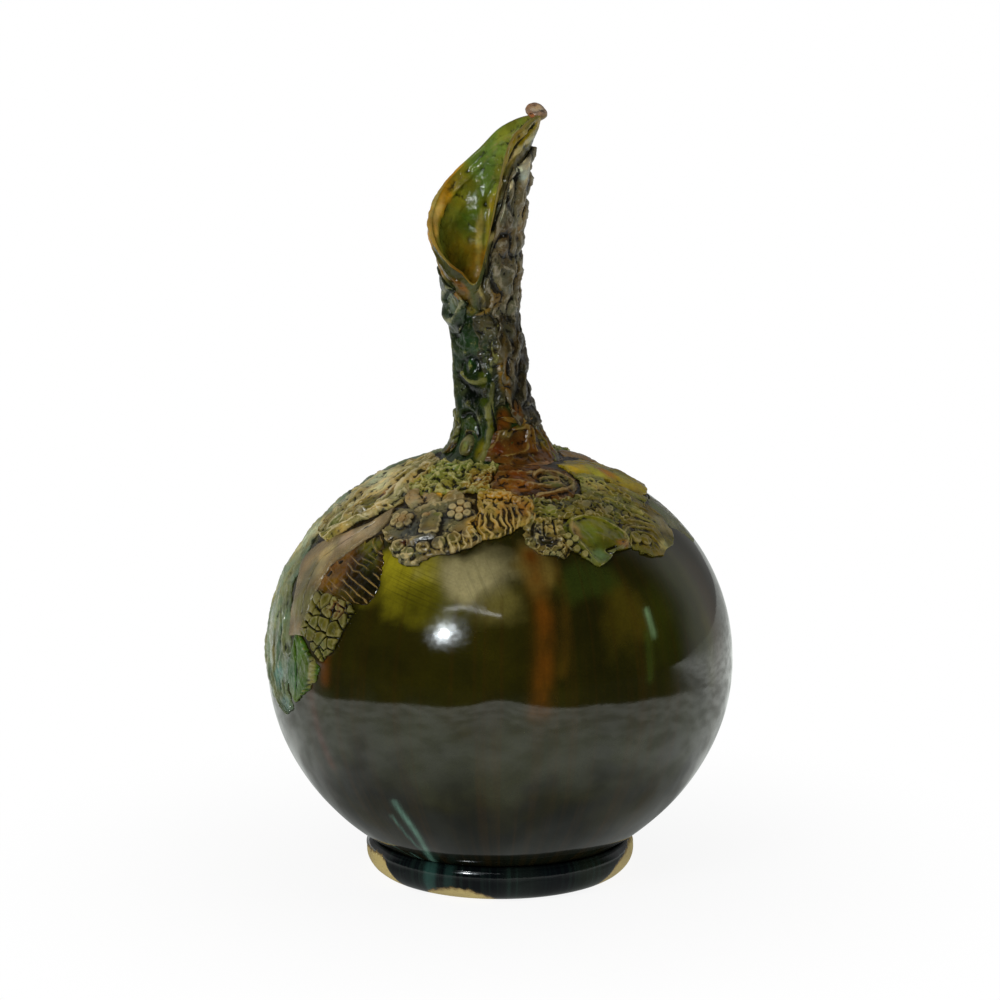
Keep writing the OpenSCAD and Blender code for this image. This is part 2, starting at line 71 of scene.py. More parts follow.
dome_in = arc_step(dome_h, dome_turn) * math.sin(dome_turn)
bowl_in = arc_step(widest_z, bowl_turn) * math.sin(bowl_turn)
dome_drop = arc_step(dome_h, dome_turn) * math.cos(dome_turn)
bowl_drop = arc_step(widest_z, bowl_turn) * math.cos(bowl_turn)
dome_r = dome_h + dome_drop
bowl_r = widest_z + bowl_drop
seat_z = widest_z - dome_drop + math.sqrt(dome_r**2 - seat_r**2)
seat_tilt = math.degrees(math.asin(seat_r / dome_r))
recess_tilt = 158.2


def facing(turn, tilt):
    """Outward direction of the globe at a turn from the front and a tilt from straight up"""
    turn, tilt = np.radians(turn), np.radians(tilt)
    return np.stack([np.sin(tilt) * np.sin(turn), -np.sin(tilt) * np.cos(turn), np.cos(tilt) + 0 * turn], -1)


def on_globe(turn, tilt, rise=0.0):
    """Points on the globe in millimetres, raised along the surface's own direction"""
    turn, tilt = np.radians(turn), np.radians(tilt)
    dome, upper, lower = tilt < dome_turn, tilt < math.pi / 2, tilt < math.pi - bowl_turn
    inward = np.where(dome, 0, np.where(upper, dome_in, np.where(lower, bowl_in, 0)))
    radius = np.where(upper, widest_r - dome_in, np.where(lower, widest_r - bowl_in, bowl_r))
    radius = np.where(dome, dome_r, radius)
    lift = np.where(dome, -dome_drop, np.where(lower, 0, bowl_drop))
    reach = inward + (radius + rise) * np.sin(tilt)
    high = widest_z + lift + (radius + rise) * np.cos(tilt)
    return np.stack([reach * np.sin(turn), -reach * np.cos(turn), high + 0 * turn], -1)


def cell_value(cell, seed):
    """Number from 0 to 1 that belongs to each whole-numbered cell of space"""
    mixed = cell[..., 0] * 73856093 ^ cell[..., 1] * 19349663 ^ cell[..., 2] * 83492791 ^ (seed + 1) * 40503
    mixed = (mixed ^ (mixed >> 15)) * 2246822519 & 0xFFFFFFFF
    mixed = (mixed ^ (mixed >> 13)) * 3266489917 & 0xFFFFFFFF
    return ((mixed ^ (mixed >> 16)) & 0xFFFFFF) / 0xFFFFFF


def clouds(points, size, seed=0, octaves=3):
    """Soft uneven field from -1 to 1 whose largest lumps are of that size in millimetres"""
    total, weight, share = 0.0, 0.0, 1.0
    for octave in range(octaves):
        scaled = points / size * 2**octave
        base = np.floor(scaled).astype(np.int64)
        part = scaled - base
        part = part * part * (3 - 2 * part)
        value = 0.0
        for corner in np.ndindex(2, 2, 2):
            near = np.prod(np.where(np.array(corner) == 1, part, 1 - part), axis=-1)
            value = value + near * cell_value(base + np.array(corner), seed + octave)
        total, weight, share = total + share * (2 * value - 1), weight + share, share / 2
    return total / weight * 1.6


def blend(low, high, value):
    """Smooth step from 0 at low to 1 at high"""
    part = np.clip((value - low) / (high - low), 0, 1)
    return part * part * (3 - 2 * part)


def paint(code):
    """Linear colour from a hexadecimal screen colour"""
    channels = np.array([int(code[k : k + 2], 16) for k in (0, 2, 4)]) / 255
    return np.where(channels > 0.04045, ((channels + 0.055) / 1.055) ** 2.4, channels / 12.92)


def washes(turn, tilt, points, ground, coats):
    """Colour of each point: ground, or colours so far, under coats of glaze. A coat is its turn,
    tilt, half width and half height in degrees, colour and strength"""
    colour = np.zeros(points.shape) + (paint(ground) if isinstance(ground, str) else ground)
    sway = clouds(points, 14, 31, 4), clouds(points, 14, 37, 4)
    for coat_turn, coat_tilt, wide, tall, code, strength in coats:
        across = ((turn - coat_turn + 180) % 360 - 180) / wide + 0.45 * sway[0]
        along = (tilt - coat_tilt) / tall + 0.45 * sway[1]
        share = strength * (1 - blend(0.35, 1.15, np.hypot(across, along)))[..., None]
        colour = colour * (1 - share) + paint(code) * share
    return colour


def smooth_row(table, share):
    """Row of a table at a share of the way through it, on a smooth curve"""
    table = np.asarray(table, float)
    last = len(table) - 1
    step = np.clip(np.floor(share * last).astype(int), 0, last - 1)
    part = np.asarray(share * last - step)[..., None] if table.ndim > 1 else share * last - step
    before, here = table[np.maximum(step - 1, 0)], table[step]
    there, after = table[step + 1], table[np.minimum(step + 2, last)]
    bend = (2 * before - 5 * here + 4 * there - after) * part**2
    return here + ((there - before) * part + bend + (3 * here - before - 3 * there + after) * part**3) / 2


def strand(points, path, width, height):
    """Ridge, or groove where height is below zero, that follows a path of points"""
    far = np.full(points.shape[:-1], 1e9)
    for start, end in zip(path[:-1], path[1:]):
        step = end - start
        share = np.clip(((points - start) @ step) / (step @ step), 0, 1)
        far = np.minimum(far, np.linalg.norm(points - start - share[..., None] * step, axis=-1))
    return height * np.exp(-1.6 * (far / width) ** 2)


def stroke(points, skin, places, width, height, steps=24):
    """Ridge or groove on a smooth path through places given as two coordinates of a skin"""
    row = smooth_row(places, np.linspace(0, 1, steps))
    return strand(points, skin(row[:, 0], row[:, 1]), width, height)


def strokes(points, skin, table):
    """Height of all the strokes of a table: the places, width and height of each"""
    return sum(stroke(points, skin, *row) for row in table)


def lumps(points, size, seed):
    """Rounded lumps of clay, 1 on top, with sharp creases of 0 between them"""
    return np.minimum(1, 1.9 * np.abs(clouds(points, size, seed, 2))) ** 0.75


def crests(points, size, seed):
    """Thin sharp crests of 1 round shallow hollows of 0"""
    return np.clip(1 - 2.6 * np.abs(clouds(points, size, seed, 3)), 0, 1) ** 1.5


def clay_mesh(name, points, faces, marks):
    """Smooth mesh object in metres with marks painted on its points"""
    points, faces = points.reshape(-1, 3), np.asarray(faces).reshape(-1, 4)
    a, b, c, d = (points[faces[:, k]] for k in range(4))
    volume = (np.cross(b, c) * a).sum() + (np.cross(c, d) * a).sum()
    if volume < 0:
        faces = faces[:, ::-1]
    mesh = bpy.data.meshes.new(name)
    mesh.vertices.add(len(points))
    mesh.vertices.foreach_set("co", (points * MM).astype(np.float32).ravel())
    rows = [sorted(set(f), key=list(f).index) if len(set(f)) < 4 else f for f in faces.tolist()]
    counts = np.array([len(r) for r in rows])
    mesh.loops.add(int(counts.sum()))
    mesh.loops.foreach_set("vertex_index", np.array([v for r in rows for v in r], np.int32))
    mesh.polygons.add(len(rows))
    mesh.polygons.foreach_set("loop_start", (np.cumsum(counts) - counts).astype(np.int32))
    mesh.update(calc_edges=True)
    mesh.shade_smooth()
    for mark, values in marks.items():
        values = np.asarray(values, np.float32)
        if values.shape[-1:] == (3,) and values.ndim > 1:
            full = np.ones((len(points), 4), np.float32)
            full[:, :3] = values.reshape(-1, 3)
            mesh.attributes.new(mark, "FLOAT_COLOR", "POINT").data.foreach_set("color", full.ravel())
        else:
            mesh.attributes.new(mark, "FLOAT", "POINT").data.foreach_set("value", values.ravel())
    made = bpy.data.objects.new(name, mesh)
    bpy.context.scene.collection.objects.link(made)
    return made


def ring_mesh(name, rings, marks):
    """Mesh of a skin whose rings, and the row of rings, both close on themselves"""
    at = np.arange(rings[..., 0].size).reshape(rings.shape[:2])
    up, on = np.roll(at, -1, 0), np.roll(at, -1, 1)
    return clay_mesh(name, rings, np.stack([at, on, np.roll(up, -1, 1), up], -1), marks)


def turns_round(count):
    """Turns of points evenly spaced round the axis, in degrees"""
    return np.arange(count) * 360 / count


def finish_piece(piece, material, slot, *nodes):
    """Gives a piece its glaze and its place in the frame"""
    piece.data.materials.append(material)
    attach(piece, "root")
    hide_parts(*nodes)


def add(tree, kind, inputs=None, **settings):
    """Shader node whose sockets are set to values or linked to other sockets"""
    made = tree.nodes.new(kind)
    for name, value in settings.items():
        setattr(made, name, value)
    for socket, value in (inputs or {}).items():
        if isinstance(value, bpy.types.NodeSocket):
            tree.links.new(value, made.inputs[socket])
        else:
            made.inputs[socket].default_value = value
    return made


def mix(tree, share, low, high):
    """Colour between two colours"""
    made = add(tree, "ShaderNodeMix", data_type="RGBA")
    for socket, value in zip((made.inputs[0], made.inputs[6], made.inputs[7]), (share, low, high)):
        if isinstance(value, bpy.types.NodeSocket):
            tree.links.new(value, socket)
        else:
            socket.default_value = value
    return made.outputs[2]


def spread(tree, value, low, high, start=0.0, end=1.0):
    """Value from start to end as another goes from low to high"""
    inputs = {"Value": value, "From Min": low, "From Max": high, "To Min": start, "To Max": end}
    return add(tree, "ShaderNodeMapRange", inputs, interpolation_type="SMOOTHSTEP").outputs[0]


def sums(tree, operation, first, second):
    """Value of a sum, product or other operation on two values"""
    return add(tree, "ShaderNodeMath", {0: first, 1: second}, operation=operation).outputs[0]


def noise(tree, place, scale, detail, **more):
    """Uneven value from 0 to 1, of a fineness and a number of octaves"""
    inputs = {"Vector": place, "Scale": scale, "Detail": detail, **more}
    return add(tree, "ShaderNodeTexNoise", inputs).outputs[0]


def own_place(tree):
    """Place of each point on its own piece"""
    return add(tree, "ShaderNodeTexCoord").outputs["Object"]


def painted(tree, mark, socket="Fac"):
    """What a mesh's painted mark gives at each point"""
    return add(tree, "ShaderNodeAttribute", attribute_name=mark).outputs[socket]


def new_material(name):
    """Material of that name, its node tree and its main shader"""
    material = bpy.data.materials.new(name)
    material.use_nodes = True
    return material, material.node_tree, material.node_tree.nodes["Principled BSDF"]


def glaze_over(tree, surface, colour, rough, height, refraction, depth, strength):
    """Links a main shader to a colour, a roughness and a height, and sets its other values"""
    bump = add(tree, "ShaderNodeBump", {"Height": height, "Distance": depth, "Strength": strength})
    for socket, value in (("Base Color", colour), ("Roughness", rough), ("Normal", bump.outputs[0])):
        tree.links.new(value, surface.inputs[socket])
    surface.inputs["IOR"].default_value = refraction


def group_tree(name, inputs, outputs):
    """Empty node group with named sockets, and its two end nodes"""
    tree = bpy.data.node_groups.new(name, "ShaderNodeTree")
    for side, sockets in (("INPUT", inputs), ("OUTPUT", outputs)):
        for socket, kind in sockets.items():
            tree.interface.new_socket(socket, in_out=side, socket_type="NodeSocket" + kind)
    return tree, add(tree, "NodeGroupInput"), add(tree, "NodeGroupOutput")


def glaze_run_group():
    """Glaze that ran down a wall: streaks that follow gravity, clouds and specks"""
    tree, given, put = group_tree(
        "Glaze run",
        {"Base": "Color", "Streak": "Color", "Amount": "Float", "Streaks round": "Float"},
        {"Color": "Color", "Run": "Float", "Height": "Float"},
    )
    place = own_place(tree)
    split = add(tree, "ShaderNodeSeparateXYZ", {0: place})
    turn = sums(tree, "ARCTAN2", split.outputs["X"], split.outputs["Y"])
    round_place = sums(tree, "MULTIPLY", turn, given.outputs["Streaks round"])
    down = sums(tree, "MULTIPLY", split.outputs["Z"], 6.0)
    flat = add(tree, "ShaderNodeCombineXYZ", {0: round_place, 1: down})
    warp = add(tree, "ShaderNodeTexNoise", {"Vector": place, "Scale": 22.0, "Detail": 4.0})
    inputs = {0: 0.22, 1: flat.outputs[0], 2: warp.outputs["Color"]}
    bent = add(tree, "ShaderNodeMixRGB", inputs, blend_type="ADD")
    run = noise(tree, bent.outputs[0], 1.0, 6.0, Roughness=0.6)
    streak = spread(tree, run, 0.46, 0.68)
    shade = noise(tree, place, 34.0, 7.0, Roughness=0.62)
    speck = noise(tree, place, 900.0, 2.0)
    share = sums(tree, "MULTIPLY", streak, given.outputs["Amount"])
    colour = mix(tree, share, given.outputs["Base"], given.outputs["Streak"])
    tone = spread(tree, shade, 0.25, 0.75, 0.72, 1.28)
    grain = spread(tree, speck, 0.3, 0.7, 0.93, 1.07)
    tone = sums(tree, "MULTIPLY", tone, grain)
    toned = add(tree, "ShaderNodeVectorMath", {0: colour, "Scale": tone}, operation="SCALE")
    tree.links.new(toned.outputs[0], put.inputs["Color"])
    tree.links.new(streak, put.inputs["Run"])
    tree.links.new(sums(tree, "ADD", shade, sums(tree, "MULTIPLY", speck, 0.05)), put.inputs["Height"])
    return tree


glaze_run = glaze_run_group()


def scratches(tree, across, along, lean, mask):
    """Fine comb marks that lean by some degrees from level, where a mask is painted"""
    lean = math.radians(lean)
    place = own_place(tree)
    split = add(tree, "ShaderNodeSeparateXYZ", {0: place})
    side, high = split.outputs["X"], split.outputs["Z"]
    first = sums(tree, "MULTIPLY", side, math.sin(lean) * across)
    first = sums(tree, "ADD", first, sums(tree, "MULTIPLY", high, math.cos(lean) * across))
    second = sums(tree, "MULTIPLY", side, math.cos(lean) * along)
    second = sums(tree, "ADD", second, sums(tree, "MULTIPLY", high, -math.sin(lean) * along))
    spot = add(tree, "ShaderNodeCombineXYZ", {0: first, 1: second})
    lines = noise(tree, spot.outputs[0], 1.0, 3.0)
    share = painted(tree, mask)
    return sums(tree, "MULTIPLY", spread(tree, lines, 0.5, 0.66), share)


def globe_glaze():
    """Glossy olive glaze, coloured by the washes painted on the globe"""
    material, tree, surface = new_material("poured_olive_glaze")
    brown, olive_black = (0.03, 0.014, 0.001, 1), (0.014, 0.012, 0.001, 1)
    haze = painted(tree, "haze")
    amount = spread(tree, haze, 0.0, 0.6, 0.3, 0.08)
    inputs = {"Base": painted(tree, "wash", "Color"), "Streak": brown, "Amount": amount, "Streaks round": 24.0}
    run = add(tree, "ShaderNodeGroup", inputs, node_tree=glaze_run)
    combed = scratches(tree, 1700.0, 34.0, 18, "combed_left")
    combed = sums(tree, "ADD", combed, scratches(tree, 1100.0, 26.0, 64, "combed_middle"))
    colour = mix(tree, sums(tree, "MULTIPLY", combed, 0.42), run.outputs["Color"], olive_black)
    rough = spread(tree, painted(tree, "collar"), 0.0, 1.0, 0.07, 0.3)
    rough = sums(tree, "ADD", rough, sums(tree, "MULTIPLY", haze, 0.2))
    height = sums(tree, "ADD", run.outputs["Height"], sums(tree, "MULTIPLY", combed, -0.5))
    glaze_over(tree, surface, colour, rough, height, 1.5, 0.0006, 0.14)
    return material


globe_around = 420
globe_tilts = np.concatenate([np.linspace(seat_tilt, 50, 76), np.linspace(51, recess_tilt, 98)])
globe_turns = turns_round(globe_around)
tilt_grid, turn_grid = np.meshgrid(globe_tilts, globe_turns, indexing="ij")
# Tilt of the lower edge of the applied clay, every 15 degrees from the front to the right
collar_tilts = [
    36, 42, 46, 45, 44, 38, 36, 30, 38, 40, 42, 42, 40, 40, 38, 32, 42, 40, 36, 50, 66, 46, 44, 40, 36,
]
collar_share = 1 - blend(-3, -1, tilt_grid - smooth_row(collar_tilts, turn_grid / 360))
outer_wall = on_globe(turn_grid, tilt_grid)
collar_rise = 0.7 * lumps(outer_wall, 5, 7) + 0.5 * crests(outer_wall, 4, 9) - 0.2
outer_rise = 0.22 * clouds(outer_wall, 26, 5, 2) + collar_share * collar_rise
outer_wall = outer_wall + facing(turn_grid, tilt_grid) * outer_rise[..., None]
inner_wall = on_globe(*np.meshgrid(globe_turns, np.linspace(153, 8, 22)), -globe_wall)
around = facing(globe_turns, 90)


def level_ring(radius, height):
    """One level ring round the axis"""
    return (around * radius + np.array([0, 0, height]))[None]


wall_rows = slice(1, 1 + len(globe_tilts))
globe_rings = np.concatenate([
    level_ring(bore_r, seat_z),
    outer_wall,
    level_ring(recess_r, recess_z),
    level_ring(axis_r, recess_z),
    level_ring(axis_r, recess_z + globe_floor),
    level_ring(cavity_r, recess_z + globe_floor),
    inner_wall,
    level_ring(bore_r, seat_z - globe_wall),
])
globe_coats = [
    (-20, 66, 40, 30, "282502", 0.7),
    (-30, 53, 15, 13, "857e16", 0.9),
    (-20, 61, 14, 7, "4c4905", 0.7),
    # The pale grey coat below is painted sheen, soft light from above, where the glaze is also hazier and
    # rougher.
    (-9, 51, 15, 9, "8a8258", 0.9),
    (-1, 62, 8, 7, "5d5628", 0.7),
    (10, 50, 8, 10, "6a5a26", 0.8),
    (24, 55, 10, 8, "2b360c", 0.8),
    (33, 66, 7, 14, "3c3406", 0.8),
    (44, 72, 8, 16, "242802", 0.8),
    (58, 62, 12, 20, "2c3008", 0.7),
    (66, 70, 8, 22, "33240a", 0.55),
    (-60, 56, 9, 12, "5a4a28", 0.6),
    (140, 60, 30, 26, "2e2b03", 0.8),
    (250, 70, 22, 26, "303810", 0.7),
    # The two coats below darken the lower half, grey-green under the widest line and near black towards the
    # bottom: painted shade of the globe's underside.
    (0, 105, 400, 14, "2a2d1c", 0.7),
    (0, 150, 400, 42, "0b0e09", 0.9),
]
# Runs of glaze of their own: path, half width in millimetres, colour and strength
glaze_runs = [
    ([(9.6, 46), (11.3, 65.4), (9.3, 90)], 5.0, "593406", 0.75),
    ([(16, 48), (17, 62), (15, 80)], 3.0, "3f2f06", 0.6),
    ([(-47, 75), (-46, 86)], 3.6, "4a2a06", 0.9),
    ([(-52, 84), (-50, 100), (-48, 112)], 3.0, "4a2c20", 0.5),
    ([(40.4, 66), (40.8, 72.5)], 1.7, "5c7450", 0.85),
    ([(39, 72), (38, 84)], 2.4, "2f3c10", 0.6),
    ([(60, 50), (63, 70), (62, 90)], 5.0, "3a3a10", 0.5),
    ([(-29.6, 121), (-26.9, 134), (-30, 146), (-35.5, 158)], 1.7, "4f6e60", 0.9),
    ([(-33, 126), (-30.5, 138), (-27.5, 152)], 0.9, "3c5a4e", 0.8),
    ([(-46, 140), (-38, 150), (-31, 157)], 1.0, "355248", 0.8),
    ([(-38, 144), (-34, 152), (-25, 158)], 0.8, "4c6c62", 0.8),
    ([(205, 44), (207, 66), (204, 96)], 6.0, "3c2806", 0.5),
    ([(150, 48), (152, 70), (150, 100)], 5.0, "4a2a06", 0.5),
]
ring_turn = np.broadcast_to(globe_turns, globe_rings.shape[:2])
ring_tilt = np.zeros(globe_rings.shape[:2])
ring_tilt[wall_rows] = tilt_grid
ring_tilt[wall_rows.stop :] = 150
globe_wash = washes(ring_turn, ring_tilt, globe_rings, "1c1b02", globe_coats)
uneven = np.clip(1 + 0.6 * clouds(globe_rings * [1, 1, 0.5], 5, 13), 0, 1.4)
for places, width, code, strength in glaze_runs:
    share = np.clip(stroke(globe_rings, on_globe, places, width, strength) * uneven, 0, 1)[..., None]
    globe_wash = globe_wash * (1 - share) + paint(code) * share


def on_rings(values):
    """Values of the outer wall, and zero on the globe's other rings"""
    full = np.zeros(globe_rings.shape[:2])
    full[wall_rows] = values
    return full


def soft_patch(turn, tilt, wide, tall):
    """Share of a soft uneven patch of the outer wall, 1 in its middle"""
    across, along = (turn_grid + 180) % 360 - 180 - turn, tilt_grid - tilt
    reach = np.hypot(across / wide, along / tall) + 0.25 * clouds(outer_wall, 12, 33)
    return on_rings(1 - blend(0.3, 1.2, reach))


clay_colour = paint("160f02") * (0.6 + 0.8 * lumps(outer_wall, 5, 7))[..., None]
covered = collar_share[..., None]
globe_wash[wall_rows] = globe_wash[wall_rows] * (1 - covered) + clay_colour * covered
globe_marks = {
    "wash": globe_wash,
    "collar": on_rings(collar_share),
    "haze": soft_patch(-8, 52, 17, 9),
    "combed_left": soft_patch(-24, 56, 13, 8),
    "combed_middle": 0.45 * soft_patch(-2, 54, 13, 10),
}
globe = ring_mesh("thrown_globe", globe_rings, globe_marks)
finish_piece(globe, globe_glaze(), "olive_glaze", "globe")


# Foot ring. A thick round ring of stoneware, turned and luted under the globe.
# The glaze stops short of the table in a ragged edge, and the pale clay shows
# bare below it.
foot_low, foot_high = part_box("foot_ring")
foot_r = (foot_high.x - foot_low.x) / 2 / MM
foot_round = 10.0
foot_face_w = 4.5
foot_bore_r = foot_r - foot_round - foot_face_w
# Height of the glaze edge above the table, every 15 degrees from the front
glaze_edge_heights = [
    1.2, -0.8, -1.6, -1.0, 10.0, 14.2, 14.5, 8.5, 4.0, 1.0, 2.5, 6.0, 7.5,
    5.0, 1.5, 3.0, 7.0, 10.5, 11.5, 12.3, 12.4, -1.5, 4.2, 6.4, 1.2,
]


def foot_glaze():
    """Near-black pooled glaze over bare buff clay, parted at the glaze edge"""
    material, tree, surface = new_material("foot_glaze_and_clay")
    buff, dark_buff, grit = (0.44, 0.35, 0.125, 1), (0.33, 0.26, 0.105, 1), (0.16, 0.11, 0.05, 1)
    rust, thin_brown, teal = (0.10, 0.055, 0.014, 1), (0.05, 0.035, 0.012, 1), (0.008, 0.018, 0.014, 1)
    place = own_place(tree)
    over = painted(tree, "over_edge")
    fray = noise(tree, place, 420.0, 5.0)
    edge = sums(tree, "ADD", over, spread(tree, fray, 0.2, 0.8, -0.7, 0.7))
    glazed = spread(tree, edge, -0.12, 0.12)
    tone = noise(tree, place, 60.0, 6.0)
    grog = noise(tree, place, 1500.0, 3.0)
    clay = mix(tree, spread(tree, tone, 0.35, 0.65), buff, dark_buff)
    clay = mix(tree, spread(tree, grog, 0.6, 0.75), clay, grit)
    rusty = mix(tree, spread(tree, edge, -1.6, -0.15, 0.0, 0.75), clay, rust)
    inputs = {"Base": painted(tree, "wash", "Color"), "Streak": teal, "Amount": 0.6, "Streaks round": 30.0}
    run = add(tree, "ShaderNodeGroup", inputs, node_tree=glaze_run)
    thin = mix(tree, spread(tree, edge, 0.1, 0.9), thin_brown, run.outputs["Color"])
    rough = spread(tree, glazed, 0.0, 1.0, 0.78, 0.09)
    height = sums(tree, "ADD", sums(tree, "MULTIPLY", glazed, 0.6), sums(tree, "MULTIPLY", grog, 0.12))
    glaze_over(tree, surface, mix(tree, glazed, rusty, thin), rough, height, 1.42, 0.0004, 0.5)
    return material


foot_sides = 480
foot_turns = turns_round(foot_sides)
foot_profile = [(foot_bore_r + 0.6, 0.0), (foot_bore_r + foot_face_w, 0.0)]
for swing in np.linspace(4, 96, 40):
    lean = math.radians(swing)
    foot_profile.append((
        foot_bore_r + foot_face_w + foot_round * math.sin(lean),
        foot_round * (1 - math.cos(lean)) + 0.25 * math.sin(2 * lean),
    ))
# Places past the round side, where foot and globe meet: reach in from the side, and height
foot_top = [(0.1, 12.4), (0.7, 13.9), (1.7, 15.0), (2.6, 15.8), (6.0, 14.6), (9.0, 11.0)]
foot_profile += [(foot_r - reach, high) for reach, high in foot_top]
foot_profile += [(foot_bore_r + 0.2, 8.0), (foot_bore_r, 7.2), (foot_bore_r, 0.6)]
foot_profile = np.array(foot_profile)
foot_around = facing(foot_turns, 90)
foot_rings = foot_around[None] * foot_profile[:, None, :1] + np.array([0, 0, 1]) * foot_profile[:, None, 1:]
foot_turn = np.broadcast_to(foot_turns, foot_rings.shape[:2])
edge_line = smooth_row(glaze_edge_heights, foot_turn / 360)
edge_line = edge_line + 0.8 * clouds(foot_around * foot_r, 6, 11, 4)
over_edge = foot_rings[..., 2] - edge_line
hidden_side = (np.arange(len(foot_profile)) > len(foot_profile) - 4)[:, None]
over_edge = np.where(hidden_side, -3.0, over_edge)
thick = 0.3 * blend(-0.4, 0.5, over_edge) + 0.12 * clouds(foot_rings, 12, 17, 2)
thick = thick * blend(0.2, 2.5, foot_rings[..., 2]) * ~hidden_side
foot_rings = foot_rings + foot_around[None] * thick[..., None]
foot_coats = [
    (-31, 90, 3.5, 400, "24423c", 0.8),
    (-22, 90, 3, 400, "1c3430", 0.7),
    (10, 90, 9, 400, "0f1512", 0.7),
    (45, 90, 12, 400, "12180f", 0.8),
    (160, 90, 16, 400, "1c2410", 0.7),
]
foot_wash = washes(foot_turn, 90 + 0 * foot_turn, foot_rings, "04070a", foot_coats)
foot = ring_mesh("foot_ring_turned", foot_rings, {"wash": foot_wash, "over_edge": over_edge})
finish_piece(foot, foot_glaze(), "buff_clay", "foot_ring")


# Neck tube. A slab of clay rolled into a tube and luted on the globe's flat seat.
# It leans to the left, its seams were left as folds, and the green glaze pooled
# black in every hollow.
neck_low, neck_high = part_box("neck_tube")
neck_h = (neck_high.z - neck_low.z) / MM
neck_r = 14.6
neck_wall = 4.0
neck_lean = 8.2
seam_z = seat_z + neck_h
# Height, lean, width and depth of the neck as shares, from its root to the seam
neck_shares = [
    (0.00, 0.00, 1.71, 1.71),
    (0.05, 0.00, 1.56, 1.56),
    (0.12, 0.02, 1.36, 1.36),
    (0.24, 0.12, 1.17, 1.17),
    (0.38, 0.36, 1.05, 1.08),
    (0.52, 0.54, 1.00, 1.04),
    (0.68, 0.60, 0.98, 1.02),
    (0.84, 0.74, 0.96, 1.00),
    (1.00, 1.00, 0.96, 1.00),
]


def neck_row(level):
    """Height, lean, width and depth of the neck in millimetres"""
    high, lean, wide, deep = np.moveaxis(smooth_row(neck_shares, level), -1, 0)
    seated = (seat_r - neck_shares[0][2] * neck_r) * np.maximum(0, 1 - 6 * level)
    return high * neck_h, -lean * neck_lean, wide * neck_r + seated, deep * neck_r + seated


def on_neck(turn, level, rise=0.0):
    """Points on the neck in millimetres, at a level from 0 at its root to 1 at the seam"""
    high, lean, wide, deep = neck_row(level)
    turn = np.radians(turn)
    side, depth = lean + (wide + rise) * np.sin(turn), -(deep + rise) * np.cos(turn)
    return np.stack([side, depth, seat_z + high + 0 * turn], -1)


def in_neck(turn, level):
    """Points on the wall of the neck's bore"""
    high, lean, wide, _ = neck_row(level)
    reach = np.maximum(bore_r, np.minimum(wide - neck_wall, bore_r + level * neck_wall / 4))
    turn = np.radians(turn)
    return np.stack([lean + reach * np.sin(turn), -reach * np.cos(turn), seat_z + high + 0 * turn], -1)


def box_blur(height, reach):
    """Mean height of the points within so many rows and columns"""
    for axis in (0, 1, 0, 1):
        margin = [(0, 0), (0, 0)]
        margin[axis] = (reach + 1, reach)
        total = np.cumsum(np.pad(height, margin, mode="edge"), axis)
        size = total.shape[axis]
        later, sooner = np.arange(2 * reach + 1, size), np.arange(size - 2 * reach - 1)
        height = (np.take(total, later, axis) - np.take(total, sooner, axis)) / (2 * reach + 1)
    return height


def relief_mark(height, fine=0.35, gain=1.0):
    """Level of each point against its surroundings, 0.5 where flat. Crests and edges
    lie above it, hollows and gaps below it"""
    near_mm, wide_mm = 0.75, 2.6
    near = box_blur(height, max(2, round(near_mm / fine)))
    wide = box_blur(height, max(4, round(wide_mm / fine)))
    return np.clip(0.5 + gain * (0.7 * (height - near) + 0.28 * (height - wide)), 0, 1)


